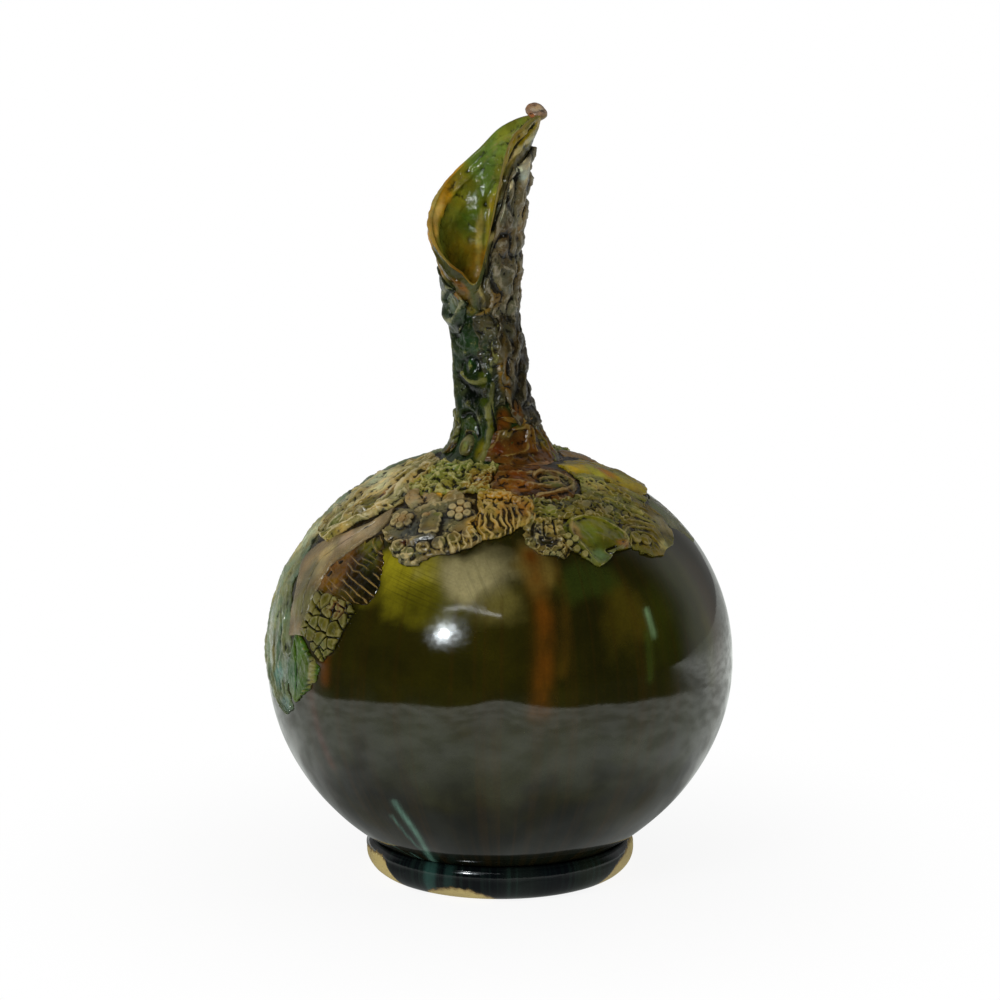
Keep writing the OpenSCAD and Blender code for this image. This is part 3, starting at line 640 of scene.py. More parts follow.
def broken_glaze_group():
    """Glaze that breaks pale over ridges, pools dark in hollows and turns from amber to
    green in patches"""
    tree, given, put = group_tree(
        "Broken glaze",
        {"Base": "Color", "Ridge": "Color", "Pool": "Color", "Relief": "Float", "Mottle": "Float"},
        {"Color": "Color", "Roughness": "Float", "Height": "Float"},
    )
    place = own_place(tree)
    grain = noise(tree, place, 620.0, 5.0, Roughness=0.6)
    lump = noise(tree, place, 150.0, 5.0, Roughness=0.6)
    fold = noise(tree, place, 210.0, 3.0, Distortion=0.6)
    cloud = noise(tree, place, 70.0, 5.0, Roughness=0.65)
    patch = noise(tree, place, 105.0, 4.0, Roughness=0.6)
    vein = sums(tree, "ABSOLUTE", sums(tree, "SUBTRACT", fold, 0.5), 0.0)
    vein = spread(tree, vein, 0.0, 0.035, 1.0, 0.0)
    shift = sums(tree, "MULTIPLY", spread(tree, grain, 0.2, 0.8, -0.12, 0.12), given.outputs["Mottle"])
    level = sums(tree, "ADD", given.outputs["Relief"], shift)
    shift = sums(tree, "MULTIPLY", spread(tree, lump, 0.2, 0.8, -0.16, 0.16), given.outputs["Mottle"])
    level = sums(tree, "ADD", level, shift)
    shift = sums(tree, "MULTIPLY", sums(tree, "MULTIPLY", vein, 0.12), given.outputs["Mottle"])
    level = sums(tree, "ADD", level, shift)
    tone = spread(tree, cloud, 0.25, 0.75, 0.85, 2.2)
    tint = mix(tree, spread(tree, patch, 0.36, 0.64), (1.15, 0.96, 0.55, 1), (0.85, 1.02, 1.0, 1))
    tint = mix(tree, given.outputs["Mottle"], (1, 1, 1, 1), tint)
    inputs = {0: given.outputs["Base"], 1: tint}
    base = add(tree, "ShaderNodeVectorMath", inputs, operation="MULTIPLY").outputs[0]
    base = add(tree, "ShaderNodeVectorMath", {0: base, "Scale": tone}, operation="SCALE").outputs[0]
    pooled = mix(tree, spread(tree, level, 0.46, 0.2, 0.0, 0.92), base, given.outputs["Pool"])
    worn = spread(tree, cloud, 0.3, 0.65, 0.3, 0.95)
    bare = sums(tree, "MULTIPLY", spread(tree, level, 0.6, 0.95), worn)
    broken = mix(tree, bare, pooled, given.outputs["Ridge"])
    tree.links.new(broken, put.inputs["Color"])
    tree.links.new(spread(tree, level, 0.3, 0.85, 0.22, 0.13), put.inputs["Roughness"])
    height = sums(tree, "ADD", grain, lump)
    tree.links.new(sums(tree, "ADD", height, sums(tree, "MULTIPLY", vein, 0.3)), put.inputs["Height"])
    return tree


broken_glaze = broken_glaze_group()


def clay_glaze(name, ridge, pool, mottle=1.0, rough=1.0, bump=0.5, shine=0.5):
    """Broken glaze over the washes painted on a piece, in that piece's own colours"""
    material, tree, surface = new_material(name)
    inputs = {
        "Base": painted(tree, "wash", "Color"),
        "Ridge": (*paint(ridge), 1),
        "Pool": (*paint(pool), 1),
        "Relief": painted(tree, "relief"),
        "Mottle": mottle,
    }
    glaze = add(tree, "ShaderNodeGroup", inputs, node_tree=broken_glaze)
    colour, height = glaze.outputs["Color"], glaze.outputs["Height"]
    rough = sums(tree, "MULTIPLY", glaze.outputs["Roughness"], rough)
    glaze_over(tree, surface, colour, rough, height, 1.42, 0.0004, bump)
    surface.inputs["Specular IOR Level"].default_value = shine
    return material


def bark(points):
    """Bark-like clay: upright lumps with deep creases and thin torn crests"""
    lump = lumps(points * [1, 1, 0.62], 6.5, 83)
    fold = crests(points * [1, 1, 0.6], 5.5, 85)
    return 1.8 * lump + 0.8 * fold + 0.3 * clouds(points * [1, 1, 0.5], 2.2, 81) - 1.1


def spout_rise(turn, level, points):
    """Height of the neck's and mouth's own clay, with bark on the right and behind. Level
    runs from 0 to 1 on the neck and on to 2 at the rim"""
    turn = (turn + 180) % 360 - 180
    start = 30 - 38 * blend(0.4, 1.0, level)
    share = blend(0, 9, turn - start) * (1 - blend(140, 172, turn)) * (1 - blend(1.76, 1.82, level))
    plain = 0.55 * clouds(points, 9, 41) + 0.35 * lumps(points, 7, 45) + 0.2 * clouds(points, 2.6, 43) - 0.2
    return plain * (1 - 0.6 * share) + share * bark(points), share


neck_around, neck_up = 360, 220
neck_turns, neck_levels = np.meshgrid(turns_round(neck_around), np.linspace(0, 1, neck_up) ** 1.1)
neck_skin = on_neck(neck_turns, neck_levels)
neck_rise, neck_bark = spout_rise(neck_turns, neck_levels, neck_skin)
neck_strands = [
    ([(-52, 0.69), (-38, 0.655), (-22, 0.65), (-8, 0.665)], 1.6, 1.5),
    ([(-50, 0.62), (-34, 0.595), (-18, 0.585)], 4.6, -2.4),
    ([(-44, 0.75), (-30, 0.77), (-18, 0.73)], 4.2, -1.6),
    ([(-34, 0.74), (-33, 0.745)], 3.0, 1.2),
    ([(8, 0.76), (-2, 0.69), (-8, 0.61), (-10, 0.53), (-16, 0.46)], 4.2, 1.8),
    ([(6, 0.64), (0, 0.55), (-6, 0.48), (-9, 0.4), (-13, 0.28), (-18, 0.12)], 1.9, 2.0),
    ([(16, 0.74), (17, 0.66), (13, 0.57)], 2.0, -2.6),
    ([(4, 0.62), (2, 0.59)], 1.8, 1.0),
    ([(-5, 0.5), (-7, 0.46)], 2.0, 1.3),
    ([(-10, 0.37), (-11, 0.34)], 1.8, 1.2),
    ([(-14, 0.25), (-15, 0.22)], 1.8, 1.2),
    ([(-70, 1.0), (-72, 0.8), (-74, 0.6), (-70, 0.45)], 3.0, 1.6),
    ([(-62, 0.44), (-44, 0.46), (-32, 0.42), (-28, 0.34)], 2.2, -1.8),
    ([(-23, 0.42), (-22, 0.3), (-26, 0.16)], 4.4, 1.4),
    ([(-12, 0.22), (-4, 0.16), (6, 0.15)], 2.2, -2.2),
]
neck_rise = neck_rise + strokes(neck_skin, on_neck, neck_strands) * (1 - blend(0.9, 1, neck_levels))
neck_rise = neck_rise * blend(0.0, 0.05, neck_levels)
neck_outer = on_neck(neck_turns, neck_levels, neck_rise)
neck_inner = in_neck(*np.meshgrid(neck_turns[0], np.linspace(1, 0, 24)))
neck_coats = [
    (-60, 0.7, 20, 0.3, "2c362a", 0.8),
    (-36, 0.86, 26, 0.11, "1a3016", 0.9),
    (-18, 0.84, 10, 0.12, "26361c", 0.7),
    (-34, 0.74, 24, 0.07, "081c04", 0.95),
    (-34, 0.745, 5, 0.022, "1e4a06", 0.9),
    (-34, 0.59, 24, 0.08, "020601", 0.95),
    (-10, 0.62, 10, 0.14, "363f04", 0.95),
    (-34, 0.655, 18, 0.012, "2c4226", 0.8),
    (8, 0.85, 14, 0.16, "242116", 0.9),
    (16, 0.67, 4, 0.09, "030502", 1.0),
    (-46, 0.42, 24, 0.12, "202e12", 0.85),
    (-24, 0.48, 8, 0.06, "0a1203", 0.9),
    (4, 0.34, 8, 0.12, "3c1c04", 0.9),
    (14, 0.46, 12, 0.1, "4a2806", 0.85),
    (-20, 0.2, 9, 0.12, "46460a", 0.95),
    (-7, 0.45, 6, 0.14, "343a06", 0.95),
    (-8, 0.18, 14, 0.05, "0c0804", 0.9),
    (30, 0.86, 16, 0.14, "1e1b12", 0.8),
    (27, 0.74, 5, 0.16, "4c3c10", 0.85),
    (70, 0.7, 40, 0.4, "252116", 0.8),
    (150, 0.6, 60, 0.5, "282518", 0.8),
    (-110, 0.6, 30, 0.6, "1e2a14", 0.5),
    (60, 0.1, 60, 0.1, "361f06", 0.8),
    (175, 1.0, 66, 0.3, "4e5026", 0.85),
]


def level_washes(turns, levels, points, ground, coats):
    """Washes whose coats give a level, from 0 to 1, in place of a tilt"""
    coats = [(a, b * 100, c, d * 100, e, f) for a, b, c, d, e, f in coats]
    return washes(turns, levels * 100, points, ground, coats)


def bark_washes(turns, levels, points, ground, coats, share):
    """Level washes under the grey-brown of bark, by the share of bark at each point"""
    brown = paint("2a2516") * (0.7 + 0.8 * lumps(points, 9, 89))[..., None]
    share = (0.85 * share)[..., None]
    return level_washes(turns, levels, points, ground, coats) * (1 - share) + brown * share


neck_wash = bark_washes(neck_turns, neck_levels, neck_outer, "13200a", neck_coats, neck_bark)
neck_wash = neck_wash * (1.3 - 0.66 * blend(0.3, 0.55, neck_levels))[..., None]
neck_points = np.concatenate([neck_outer, neck_inner])
inner_wash = np.zeros(neck_inner.shape) + paint("2e2c0a")
neck = ring_mesh("rolled_neck", neck_points, {
    "wash": np.concatenate([neck_wash, inner_wash]),
    "relief": np.concatenate([relief_mark(neck_rise, 0.28, 0.8), np.full(neck_inner.shape[:2], 0.4)]),
})
finish_piece(neck, clay_glaze("neck_green_glaze", "6c6c38", "020401", 0.9, 0.5), "green_glaze", "neck_tube")


# Mouth leaf. The same rolled slab opens into a leaf that is cut low in front and
# drawn up to a point at the back right, glazed green and amber inside, with a
# pale rim where the glaze ran thin.
mouth_high = 83.5
mouth_wide = 46.0
mouth_depth = 35.0
flare_power = 1.35
tip_bend = 2.6
tip_turn = 1.68
# Rim, every 24 degrees from the front to the right: side, depth and height shares
rim_shares = [
    (-0.20, -0.48, 0.18),
    (-0.03, -0.48, 0.57),
    (0.09, -0.44, 0.84),
    (0.22, -0.30, 0.95),
    (0.325, -0.08, 0.995),
    (0.285, 0.12, 0.985),
    (0.15, 0.30, 0.955),
    (-0.02, 0.42, 0.90),
    (-0.20, 0.48, 0.80),
    (-0.41, 0.42, 0.70),
    (-0.57, 0.26, 0.60),
    (-0.65, 0.02, 0.495),
    (-0.64, -0.22, 0.40),
    (-0.54, -0.40, 0.30),
    (-0.36, -0.47, 0.22),
]
rim_ring = [rim_shares[k % len(rim_shares)] for k in range(-1, len(rim_shares) + 2)]


def rim_point(turn):
    """Point of the rim at a turn"""
    share = (1 + (turn % 360) / 360 * len(rim_shares)) / (len(rim_ring) - 1)
    return smooth_row(rim_ring, share) * [mouth_wide, mouth_depth, mouth_high] + [0, 0, seam_z]


def on_mouth(turn, level, rise=0.0):
    """Points on the mouth in millimetres, at a level from 0 at the seam to 1 at the rim"""
    low, high = on_neck(turn, np.ones_like(level + 0.0)), rim_point(turn)
    level = np.asarray(level)[..., None]
    side = low + (high - low) * level**flare_power
    side[..., 2:] = low[..., 2:] + (high - low)[..., 2:] * level
    turn = np.radians(turn)
    side[..., 0] += tip_bend * blend(0.8, 1.0, level[..., 0]) * np.clip(np.cos(turn - tip_turn), 0, 1) ** 8
    away = np.stack([np.sin(turn), -np.cos(turn), 0 * turn], -1)
    return side + away * np.asarray(rise)[..., None]


mouth_around, mouth_up = 400, 220
mouth_turns, mouth_levels = np.meshgrid(turns_round(mouth_around), np.linspace(0, 1, mouth_up))
mouth_skin = on_mouth(mouth_turns, mouth_levels)
mouth_rise, mouth_bark = spout_rise(mouth_turns, 1 + mouth_levels, mouth_skin)
mouth_strands = [
    ([(84, 0.97), (60, 0.93), (38, 0.9), (20, 0.86)], 1.2, -1.6),
    ([(30, 1.0), (34, 0.95), (30, 0.9)], 1.5, 1.3),
    ([(66, 0.99), (70, 0.95), (62, 0.9)], 1.8, 1.2),
    ([(-24, 0.3), (-18, 0.2), (-20, 0.08)], 1.6, -1.4),
    ([(-40, 0.5), (-62, 0.6), (-84, 0.66)], 1.4, -0.9),
    ([(-30, 0.7), (-56, 0.84), (-90, 0.9)], 1.2, 0.8),
]
mouth_rise = mouth_rise + strokes(mouth_skin, on_mouth, mouth_strands)
mouth_outer = on_mouth(mouth_turns, mouth_levels, mouth_rise)


def mouth_wall(level):
    """Thickness of the mouth's wall, which thins towards the rim"""
    return neck_wall * (1 - 0.55 * level**4)


lip_turns, lip_swing = np.meshgrid(mouth_turns[0], np.linspace(0, math.pi, 9)[1:-1])
lip_depth = mouth_wall(1.0) / 2 * (1 - np.cos(lip_swing))
lip_full = np.ones_like(lip_turns)
lip_bark = spout_rise(lip_turns, 1.8 * lip_full, on_mouth(lip_turns, lip_full))[1]
mouth_lip = on_mouth(lip_turns, lip_full, mouth_rise[-1:] * (1 + np.cos(lip_swing)) / 2 - lip_depth)
mouth_lip[..., 2] += mouth_wall(1.0) / 2.4 * np.sin(lip_swing)


def inside_mouth(turn, level, rise=0.0):
    """Points on the inner side of the mouth's wall"""
    return on_mouth(turn, level, rise - mouth_wall(np.asarray(level)))


def on_spout(turn, level, rise=0.0):
    """Skin of the neck up to level 1 and of the mouth above it"""
    level = np.asarray(level, float)
    low = on_neck(turn, np.minimum(level, 1), rise)
    high = on_mouth(turn, np.maximum(level - 1, 0), rise)
    return np.where((level <= 1)[..., None], low, high)


inner_turns, inner_levels = np.meshgrid(mouth_turns[0], np.linspace(1, 0, 170))
inner_skin = inside_mouth(inner_turns, inner_levels)
inner_rise = 0.8 * clouds(inner_skin, 9, 57) + 0.3 * lumps(inner_skin, 6, 58)
inner_rise = inner_rise + 0.15 * clouds(inner_skin, 3, 59, 2)
inner_strands = [
    ([(-166, 0.68), (-168, 0.52), (-172, 0.36), (-178, 0.2)], 5.6, 2.0),
    ([(168, 0.62), (166, 0.45), (162, 0.3)], 2.2, 1.2),
    ([(142, 0.8), (141, 0.79)], 2.2, 1.6),
    ([(150, 0.68), (165, 0.7), (178, 0.62)], 1.8, -1.2),
    ([(118, 0.95), (125, 0.9), (132, 0.93)], 1.8, 1.3),
    ([(-160, 0.92), (-172, 0.9), (178, 0.93)], 1.6, 1.0),
]
inner_rise = inner_rise + strokes(inner_skin, inside_mouth, inner_strands)
inner_rise = inner_rise * (1 - blend(0.93, 1.0, inner_levels))
mouth_inner = inside_mouth(inner_turns, inner_levels, -inner_rise)
low_ring = in_neck(mouth_turns[0], np.ones(mouth_around))
join = blend(0.0, 0.22, inner_levels)[..., None]
straight_up = low_ring[None] + [0, 0, 1] * (inner_skin[..., 2:] - low_ring[None, :, 2:])
mouth_inner = mouth_inner * join + straight_up * (1 - join)
mouth_points = np.concatenate([mouth_outer, mouth_lip, mouth_inner])
outer_coats = [
    (-70, 0.7, 34, 0.3, "6b5526", 0.8),
    (-84, 0.9, 30, 0.12, "8a6c34", 0.8),
    (-60, 0.25, 34, 0.3, "3a4436", 0.85),
    (150, 0.0, 400, 0.1, "26301a", 0.7),
    (-34, 0.0, 30, 0.14, "26341c", 0.85),
    (-20, 0.45, 14, 0.34, "42300c", 0.85),
    (-14, 0.16, 10, 0.14, "504416", 0.8),
    (-24, 0.7, 16, 0.14, "54380c", 0.8),
    (70, 0.5, 60, 0.8, "322e22", 0.8),
    (180, 0.5, 60, 0.7, "3c4418", 0.8),
    (-120, 0.7, 30, 0.4, "5c4a10", 0.7),
]
rim_coats = [
    (-90, 1.0, 60, 9, "86703a", 0.8),
    (-20, 1.0, 20, 9, "6c4c14", 0.8),
    (-140, 1.0, 20, 9, "8c6a1c", 0.8),
    (180, 1.0, 36, 9, "4f5a20", 0.9),
]
tip_coats = [
    (60, 0.93, 44, 0.1, "5c5208", 1.0),
    (100, 0.97, 20, 0.06, "6c5c1c", 0.9),
    (30, 0.93, 8, 0.05, "1e1808", 0.8),
    (70, 0.9, 30, 0.02, "8a8468", 0.7),
]
inner_coats = [
    (-112, 0.94, 30, 0.09, "8a6410", 0.9),
    (-146, 0.86, 20, 0.14, "5a5c12", 0.8),
    (180, 0.85, 36, 0.22, "4a5a20", 0.95),
    (150, 0.88, 26, 0.16, "586424", 0.9),
    (-150, 0.62, 34, 0.16, "38480c", 0.9),
    (-150, 0.36, 30, 0.16, "5c4a0c", 0.95),
    (-110, 0.5, 30, 0.3, "5c5210", 0.9),
    (180, 0.15, 50, 0.2, "86641a", 0.95),
    (-169, 0.42, 12, 0.24, "8a7c3c", 0.95),
    (164, 0.42, 14, 0.3, "807420", 0.9),
    (-90, 0.95, 30, 0.05, "b08a4c", 0.7),
]
outer_wash = bark_washes(mouth_turns, mouth_levels, mouth_outer, "2e3014", outer_coats, mouth_bark)
mouth_wash = np.concatenate([
    level_washes(mouth_turns, mouth_levels, mouth_outer, outer_wash, tip_coats),
    bark_washes(lip_turns, lip_full, mouth_lip, "5f5426", rim_coats, lip_bark),
    level_washes(inner_turns, inner_levels, mouth_inner, "54551a", inner_coats),
])
mouth_relief = np.concatenate([
    relief_mark(mouth_rise, 0.38, 0.9),
    np.full(mouth_lip.shape[:2], 0.56),
    relief_mark(inner_rise, 0.4, 0.8),
])
mouth = ring_mesh("leaf_mouth", mouth_points, {"wash": mouth_wash, "relief": mouth_relief})
finish_piece(mouth, clay_glaze("mouth_glaze", "867a46", "12140a", 0.8, 0.6, 0.45), "green_glaze", "mouth_leaf")


# Tip bead. The rim's point is rolled over into a small bead of bare mauve-tan clay,
# pinched along the rim and pressed flat onto it.
bead_low, bead_high = (np.array(corner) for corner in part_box("tip_bead"))
bead_middle = (bead_low + bead_high) / 2 / MM + [tip_bend, 0, -0.7]
bead_half = (bead_high - bead_low) / 2 / MM
bead_turns, bead_tilts = np.meshgrid(turns_round(96), np.linspace(1, 179, 64))
bead_ball = facing(bead_turns, bead_tilts)
bead_points = bead_middle + bead_ball * bead_half * [1.2, 1.1, 1.3]
bead_points = bead_points + np.array([-0.25, 0, 0]) * (bead_points[..., 2:] - bead_middle[2])
bead_rise = 0.5 * clouds(bead_points, 3.6, 61)
bead_pinch = bead_middle + bead_half * np.array([[-1.2, -0.7, -0.5], [0, -1.1, 0.0], [1.1, -0.5, 0.3]])
bead_rise = bead_rise + strand(bead_points, bead_pinch, 0.8, -0.45)
bead_points = bead_points + bead_ball * bead_rise[..., None]


def cap_faces(rows, cols):
    """Faces of a ball whose columns close on themselves, with a flat cap at each end"""
    at = np.arange(rows * cols).reshape(rows, cols)
    on = np.roll(at, -1, 1)
    sides = np.stack([at[:-1], on[:-1], on[1:], at[1:]], -1).reshape(-1, 4)
    caps = []
    for row in (at[0][::-1], at[-1]):
        caps += [[row[0], row[k], row[k + 1], row[0]] for k in range(1, cols - 1)]
    return np.concatenate([sides, np.array(caps)])


bead_wash = washes(bead_turns, bead_tilts, bead_points, "6d5648", [
    (-30, 110, 30, 26, "8a4a1c", 0.85),
    (20, 60, 60, 26, "80705e", 0.8),
    (60, 130, 60, 30, "4a401c", 0.7),
])
bead_marks = {"wash": bead_wash, "relief": relief_mark(bead_rise, 0.3)}
bead = clay_mesh("rolled_bead", bead_points, cap_faces(*bead_turns.shape), bead_marks)
finish_piece(bead, clay_glaze("bead_clay", "a08a6a", "2c2216", 0.8, 1.6), "mauve_clay", "tip_bead")


# Bark slabs. Two slabs of grey-brown clay, torn along the grain, climb the right
# side of the neck and the mouth, with deep cracks and a pale broken edge.
mm_per_tilt = 1.9


def edge_steps(count, rim):
    """Steps across a slab, from 0 to 1, and the swing of its rounded edge at each.
    The swing goes from -90 degrees under the edge to 90 on top of it"""
    swing = np.linspace(-90, 90, rim)
    flat = np.full(count, 90.0)
    inner = np.linspace(0, 1, count + 2)[1:-1]
    return np.concatenate([np.zeros(rim), inner, np.ones(rim)]), np.concatenate([swing, flat, swing[::-1]])


def slab_grid(length, width, fine, rim=7):
    """Grid of a slab: shares along and across it, and how far it stands up at its edges"""
    along, along_swing = edge_steps(max(8, int(length / fine)), rim)
    across, across_swing = edge_steps(max(8, int(width / fine)), rim)
    share, side = np.meshgrid(along, across, indexing="ij")
    swing, side_swing = np.meshgrid(np.radians(along_swing), np.radians(across_swing), indexing="ij")
    return share, side, swing, side_swing


def rolled(share, swing, tuck):
    """Sideways step of the points on a slab's rounded edges"""
    return np.where(share < 0.5, -1, 1) * tuck * np.cos(swing) * (np.abs(share - 0.5) == 0.5)


def slab_places(place, length, width, fine, edge):
    """Turns and tilts, or levels, of a slab's grid, drawn in under its rounded edge"""
    share, side, swing, side_swing = slab_grid(length, width, fine)
    tuck = min(edge / length, 0.2)
    s = share * (1 - 2 * tuck) + tuck + rolled(share, swing, tuck)
    narrow = np.minimum(edge / np.maximum(width / 2, 1e-3), 0.4)
    v = (2 * side - 1) * (1 - narrow) + rolled(side, side_swing, narrow)
    stand = (0.5 + 0.5 * np.sin(swing)) * (0.5 + 0.5 * np.sin(side_swing))
    turn, level = place(s, v)
    return turn, level, stand, s, v


def slab_faces(rows, cols, full):
    """Faces of a slab: its top grid, closed below by its bottom grid or by one sunk point"""
    at = np.arange(rows * cols).reshape(rows, cols)
    top = np.stack([at[:-1, :-1], at[1:, :-1], at[1:, 1:], at[:-1, 1:]], -1).reshape(-1, 4)
    border = np.concatenate([at[0, :], at[1:, -1], at[-1, -2::-1], at[-2:0:-1, 0]])
    if not full:
        sunk = np.full(len(border), rows * cols)
        return np.concatenate([top, np.stack([border, np.roll(border, -1), sunk, border], -1)])
    inner = at + rows * cols
    inner_border = inner.ravel()[border]
    sides = np.stack([border, np.roll(border, -1), np.roll(inner_border, -1), inner_border], -1)
    return np.concatenate([top, top[:, ::-1] + rows * cols, sides])


def clay_slab(
    name, skin, place, size, thick, relief, ground, coats,
    wrapped=False, fine=0.35, edge=0.9, ragged=0.8, spill=(0.0, 0.0), undercut=0.45,
):
    """Slab of clay on a skin. Size is its length and width in millimetres, and relief
    gives its height over the flat slab from its shares and its points. A spill lets its
    pressed-out ends and sides lap over its neighbours by so many millimetres. A wrapped
    slab lies on the neck or the mouth, has levels in place of tilts and is closed below"""
    sink, base_depth, hub_depth = 0.35, 0.9, 1.6
    length, width = size[0] + 2 * spill[0], size[1] + 2 * spill[1]

    def spilt(s, v):
        return place((s - 0.5) * length / size[0] + 0.5, v * width / size[1])

    turn, level, stand, s, v = slab_places(spilt, length, width, fine, edge)
    flat = skin(turn, level, 0.0)
    if ragged:
        rim = np.maximum(blend(0.55, 1, np.abs(v)), blend(0.4, 0.5, np.abs(s - 0.5)))
        drift = ragged * (0.35 + 0.65 * rim)
        reach = np.hypot(flat[..., 0], flat[..., 1])
        torn = clouds(flat, 7, 71) + 0.45 * clouds(flat, 1.9, 72, 2)
        turn = turn + np.degrees(drift / np.maximum(reach, 8) * torn)
        level = level + drift / (seam_z - seat_z if wrapped else mm_per_tilt) * clouds(flat, 7, 75)
        flat = skin(turn, level, 0.0)
    height = relief(s, v, flat)
    rise = -sink + stand * (thick + sink + height)
    points = skin(turn, level, rise)
    rows, cols = turn.shape
    mark = relief_mark(stand * (height + 0.3 * thick), fine)
    # Darkens the slab's rolled edges towards its pool colour: glaze pooled where the slab meets the skin
    # below, and painted shade under the edge.
    mark = np.clip(mark - undercut * (1 - blend(0.0, 0.75, stand)), 0, 1)
    wash = (level_washes if wrapped else washes)(turn, level, flat, ground, coats)
    marks = {"wash": wash, "relief": mark}
    if wrapped:
        base = skin(turn, level, -base_depth + 0 * rise)
        points = np.concatenate([points, base])
        marks = {key: np.concatenate([value, value]) for key, value in marks.items()}
    else:
        sunk = skin(turn[rows // 2, cols // 2], level[rows // 2, cols // 2], -hub_depth)
        points = np.concatenate([points.reshape(-1, 3), sunk[None]])
        wash = np.concatenate([wash.reshape(-1, 3), wash[:1, 0]])
        marks = {"wash": wash, "relief": np.append(mark.ravel(), 0.0)}
    return clay_mesh(name, points, slab_faces(rows, cols, wrapped), marks)


def wrapped_on(name, skin, turns, levels, taper, size, thick, relief, ground, coats, **more):
    """Wrapped slab between two turns and two levels, drawn in at its ends"""

    def place(s, v):
        width = 1 - taper * (2 * s - 1) ** 4
        turn = (turns[0] + turns[1]) / 2 - v * width * (turns[1] - turns[0]) / 2
        return turn, levels[0] + (levels[1] - levels[0]) * s

    return clay_slab(name, skin, place, size, thick, relief, ground, coats, wrapped=True, **more)


def low_bark_relief(s, v, points):
    return bark(points) + 0.5


low_bark_coats = [
    (40, 0.9, 16, 0.06, "36311f", 0.8),
    (40, 0.7, 10, 0.3, "2c2719", 0.8),
    (28, 0.7, 6, 0.2, "4a380f", 0.85),
    (60, 0.55, 30, 0.12, "181409", 0.8),
    (36, 0.48, 10, 0.08, "3c2408", 0.8),
    (95, 0.7, 22, 0.4, "2b2719", 0.7),
]
low_bark = wrapped_on(
    "bark_on_neck", on_spout, (32, 138), (0.42, 1.0), 0.1, (40, 30), 1.2, low_bark_relief,
    "1e190c", low_bark_coats, spill=(1.6, 3.0), ragged=1.4,
)
bark_clay = clay_glaze("bark_clay", "5c5540", "090805", 1.2, 1.0, 0.9)
finish_piece(low_bark, bark_clay, "bark_glaze", "bark_slab_low")


def high_bark_relief(s, v, points):
    pad = stroke(points, on_mouth, [(74, 0.9), (73, 0.82), (72, 0.75)], 4.2, 1.6)
    fold = stroke(points, on_mouth, [(86, 0.99), (88, 0.75), (92, 0.55)], 1.6, -1.6)
    notch = stroke(points, on_mouth, [(62, 0.92), (58, 0.74), (54, 0.58)], 1.8, -1.8)
    plain = blend(0.2, 1.4, pad)
    return (bark(points) + 0.5) * (1 - 0.85 * plain) + pad + fold + notch


high_bark_coats = [
    (73, 1.76, 9, 0.08, "8a887c", 0.95),
    (55, 1.75, 10, 0.25, "4c4430", 0.8),
    (88, 1.7, 8, 0.3, "151109", 0.9),
    (60, 1.79, 34, 0.02, "a09a84", 0.9),
    (72, 1.5, 20, 0.1, "5c5038", 0.8),
    (42, 1.4, 10, 0.2, "30281a", 0.8),
    (66, 1.2, 24, 0.12, "383220", 0.8),
    (20, 1.2, 14, 0.16, "4a3c1a", 0.8),
    (110, 1.6, 22, 0.5, "585244", 0.7),
]
high_bark = wrapped_on(
    "bark_on_mouth", on_spout, (26, 132), (1.0, 1.81), 0.1, (66, 30), 1.2, high_bark_relief,
    "3e3828", high_bark_coats, spill=(1.6, 3.6), ragged=1.8,
)
high_bark_clay = clay_glaze("high_bark_clay", "7c7560", "0a0906", 1.2, 1.0, 0.9)
finish_piece(high_bark, high_bark_clay, "bark_glaze", "bark_slab_high")


# Folded tab. A tongue of the slab folds down over the front of the neck below the
# mouth's low edge. Its rolled end stands clear and holds a dark hole under it.
def tab_relief(s, v, points):
    rolls_and_hole = strokes(points, on_spout, [
        ([(-26, 1.34), (-32, 1.2), (-40, 1.04), (-56, 0.96), (-76, 0.98)], 2.8, 1.7),
        ([(-50, 1.44), (-66, 1.3), (-80, 1.12), (-84, 1.02)], 2.6, 1.0),
        ([(-46, 1.2), (-54, 1.08)], 2.8, -4.2),
        ([(-40, 1.46), (-52, 1.34), (-66, 1.2)], 1.6, -1.4),
    ])
    return rolls_and_hole + 0.5 * clouds(points, 6, 91, 4) + 0.4 * lumps(points, 5, 93)


tab_coats = [
    (-80, 1.2, 14, 0.2, "2c342c", 0.9),
    (-60, 1.38, 14, 0.08, "2c2e1e", 0.8),
    # The black coat below is painted shade in the hole under the rolled end.
    (-50, 1.13, 10, 0.09, "020302", 1.0),
    (-32, 1.14, 6, 0.1, "343c28", 0.9),
    (-60, 0.97, 20, 0.04, "2e3a2e", 0.8),
    # The black coat below is painted shadow along the tab's lower edge, where it hangs over the neck.
    (-34, 0.93, 16, 0.05, "030602", 1.0),
    (-30, 1.42, 10, 0.08, "6a4a14", 0.8),
]
tab = wrapped_on(
    "tab_over_front", on_spout, (-112, -20), (0.9, 1.5), 0.5, (50, 28), 0.9, tab_relief,
    "1c2416", tab_coats, ragged=1.2,
)
finish_piece(tab, clay_glaze("tab_glaze", "82825e", "040704", 0.8, 0.8), "green_glaze", "folded_tab")


# Wrap strip. A strip of mottled grey clay climbs the right side of the neck's front
# from the root to the seam, with a torn upper end.
def strip_relief(s, v, points):
    vein = stroke(points, on_spout, [(17, 0.56), (20, 0.72), (18, 0.92)], 1.8, 1.0)
    height = vein + 0.8 * lumps(points, 5, 103) + 0.6 * crests(points, 4, 107)
    return height + 0.3 * clouds(points, 3, 101) - 0.6


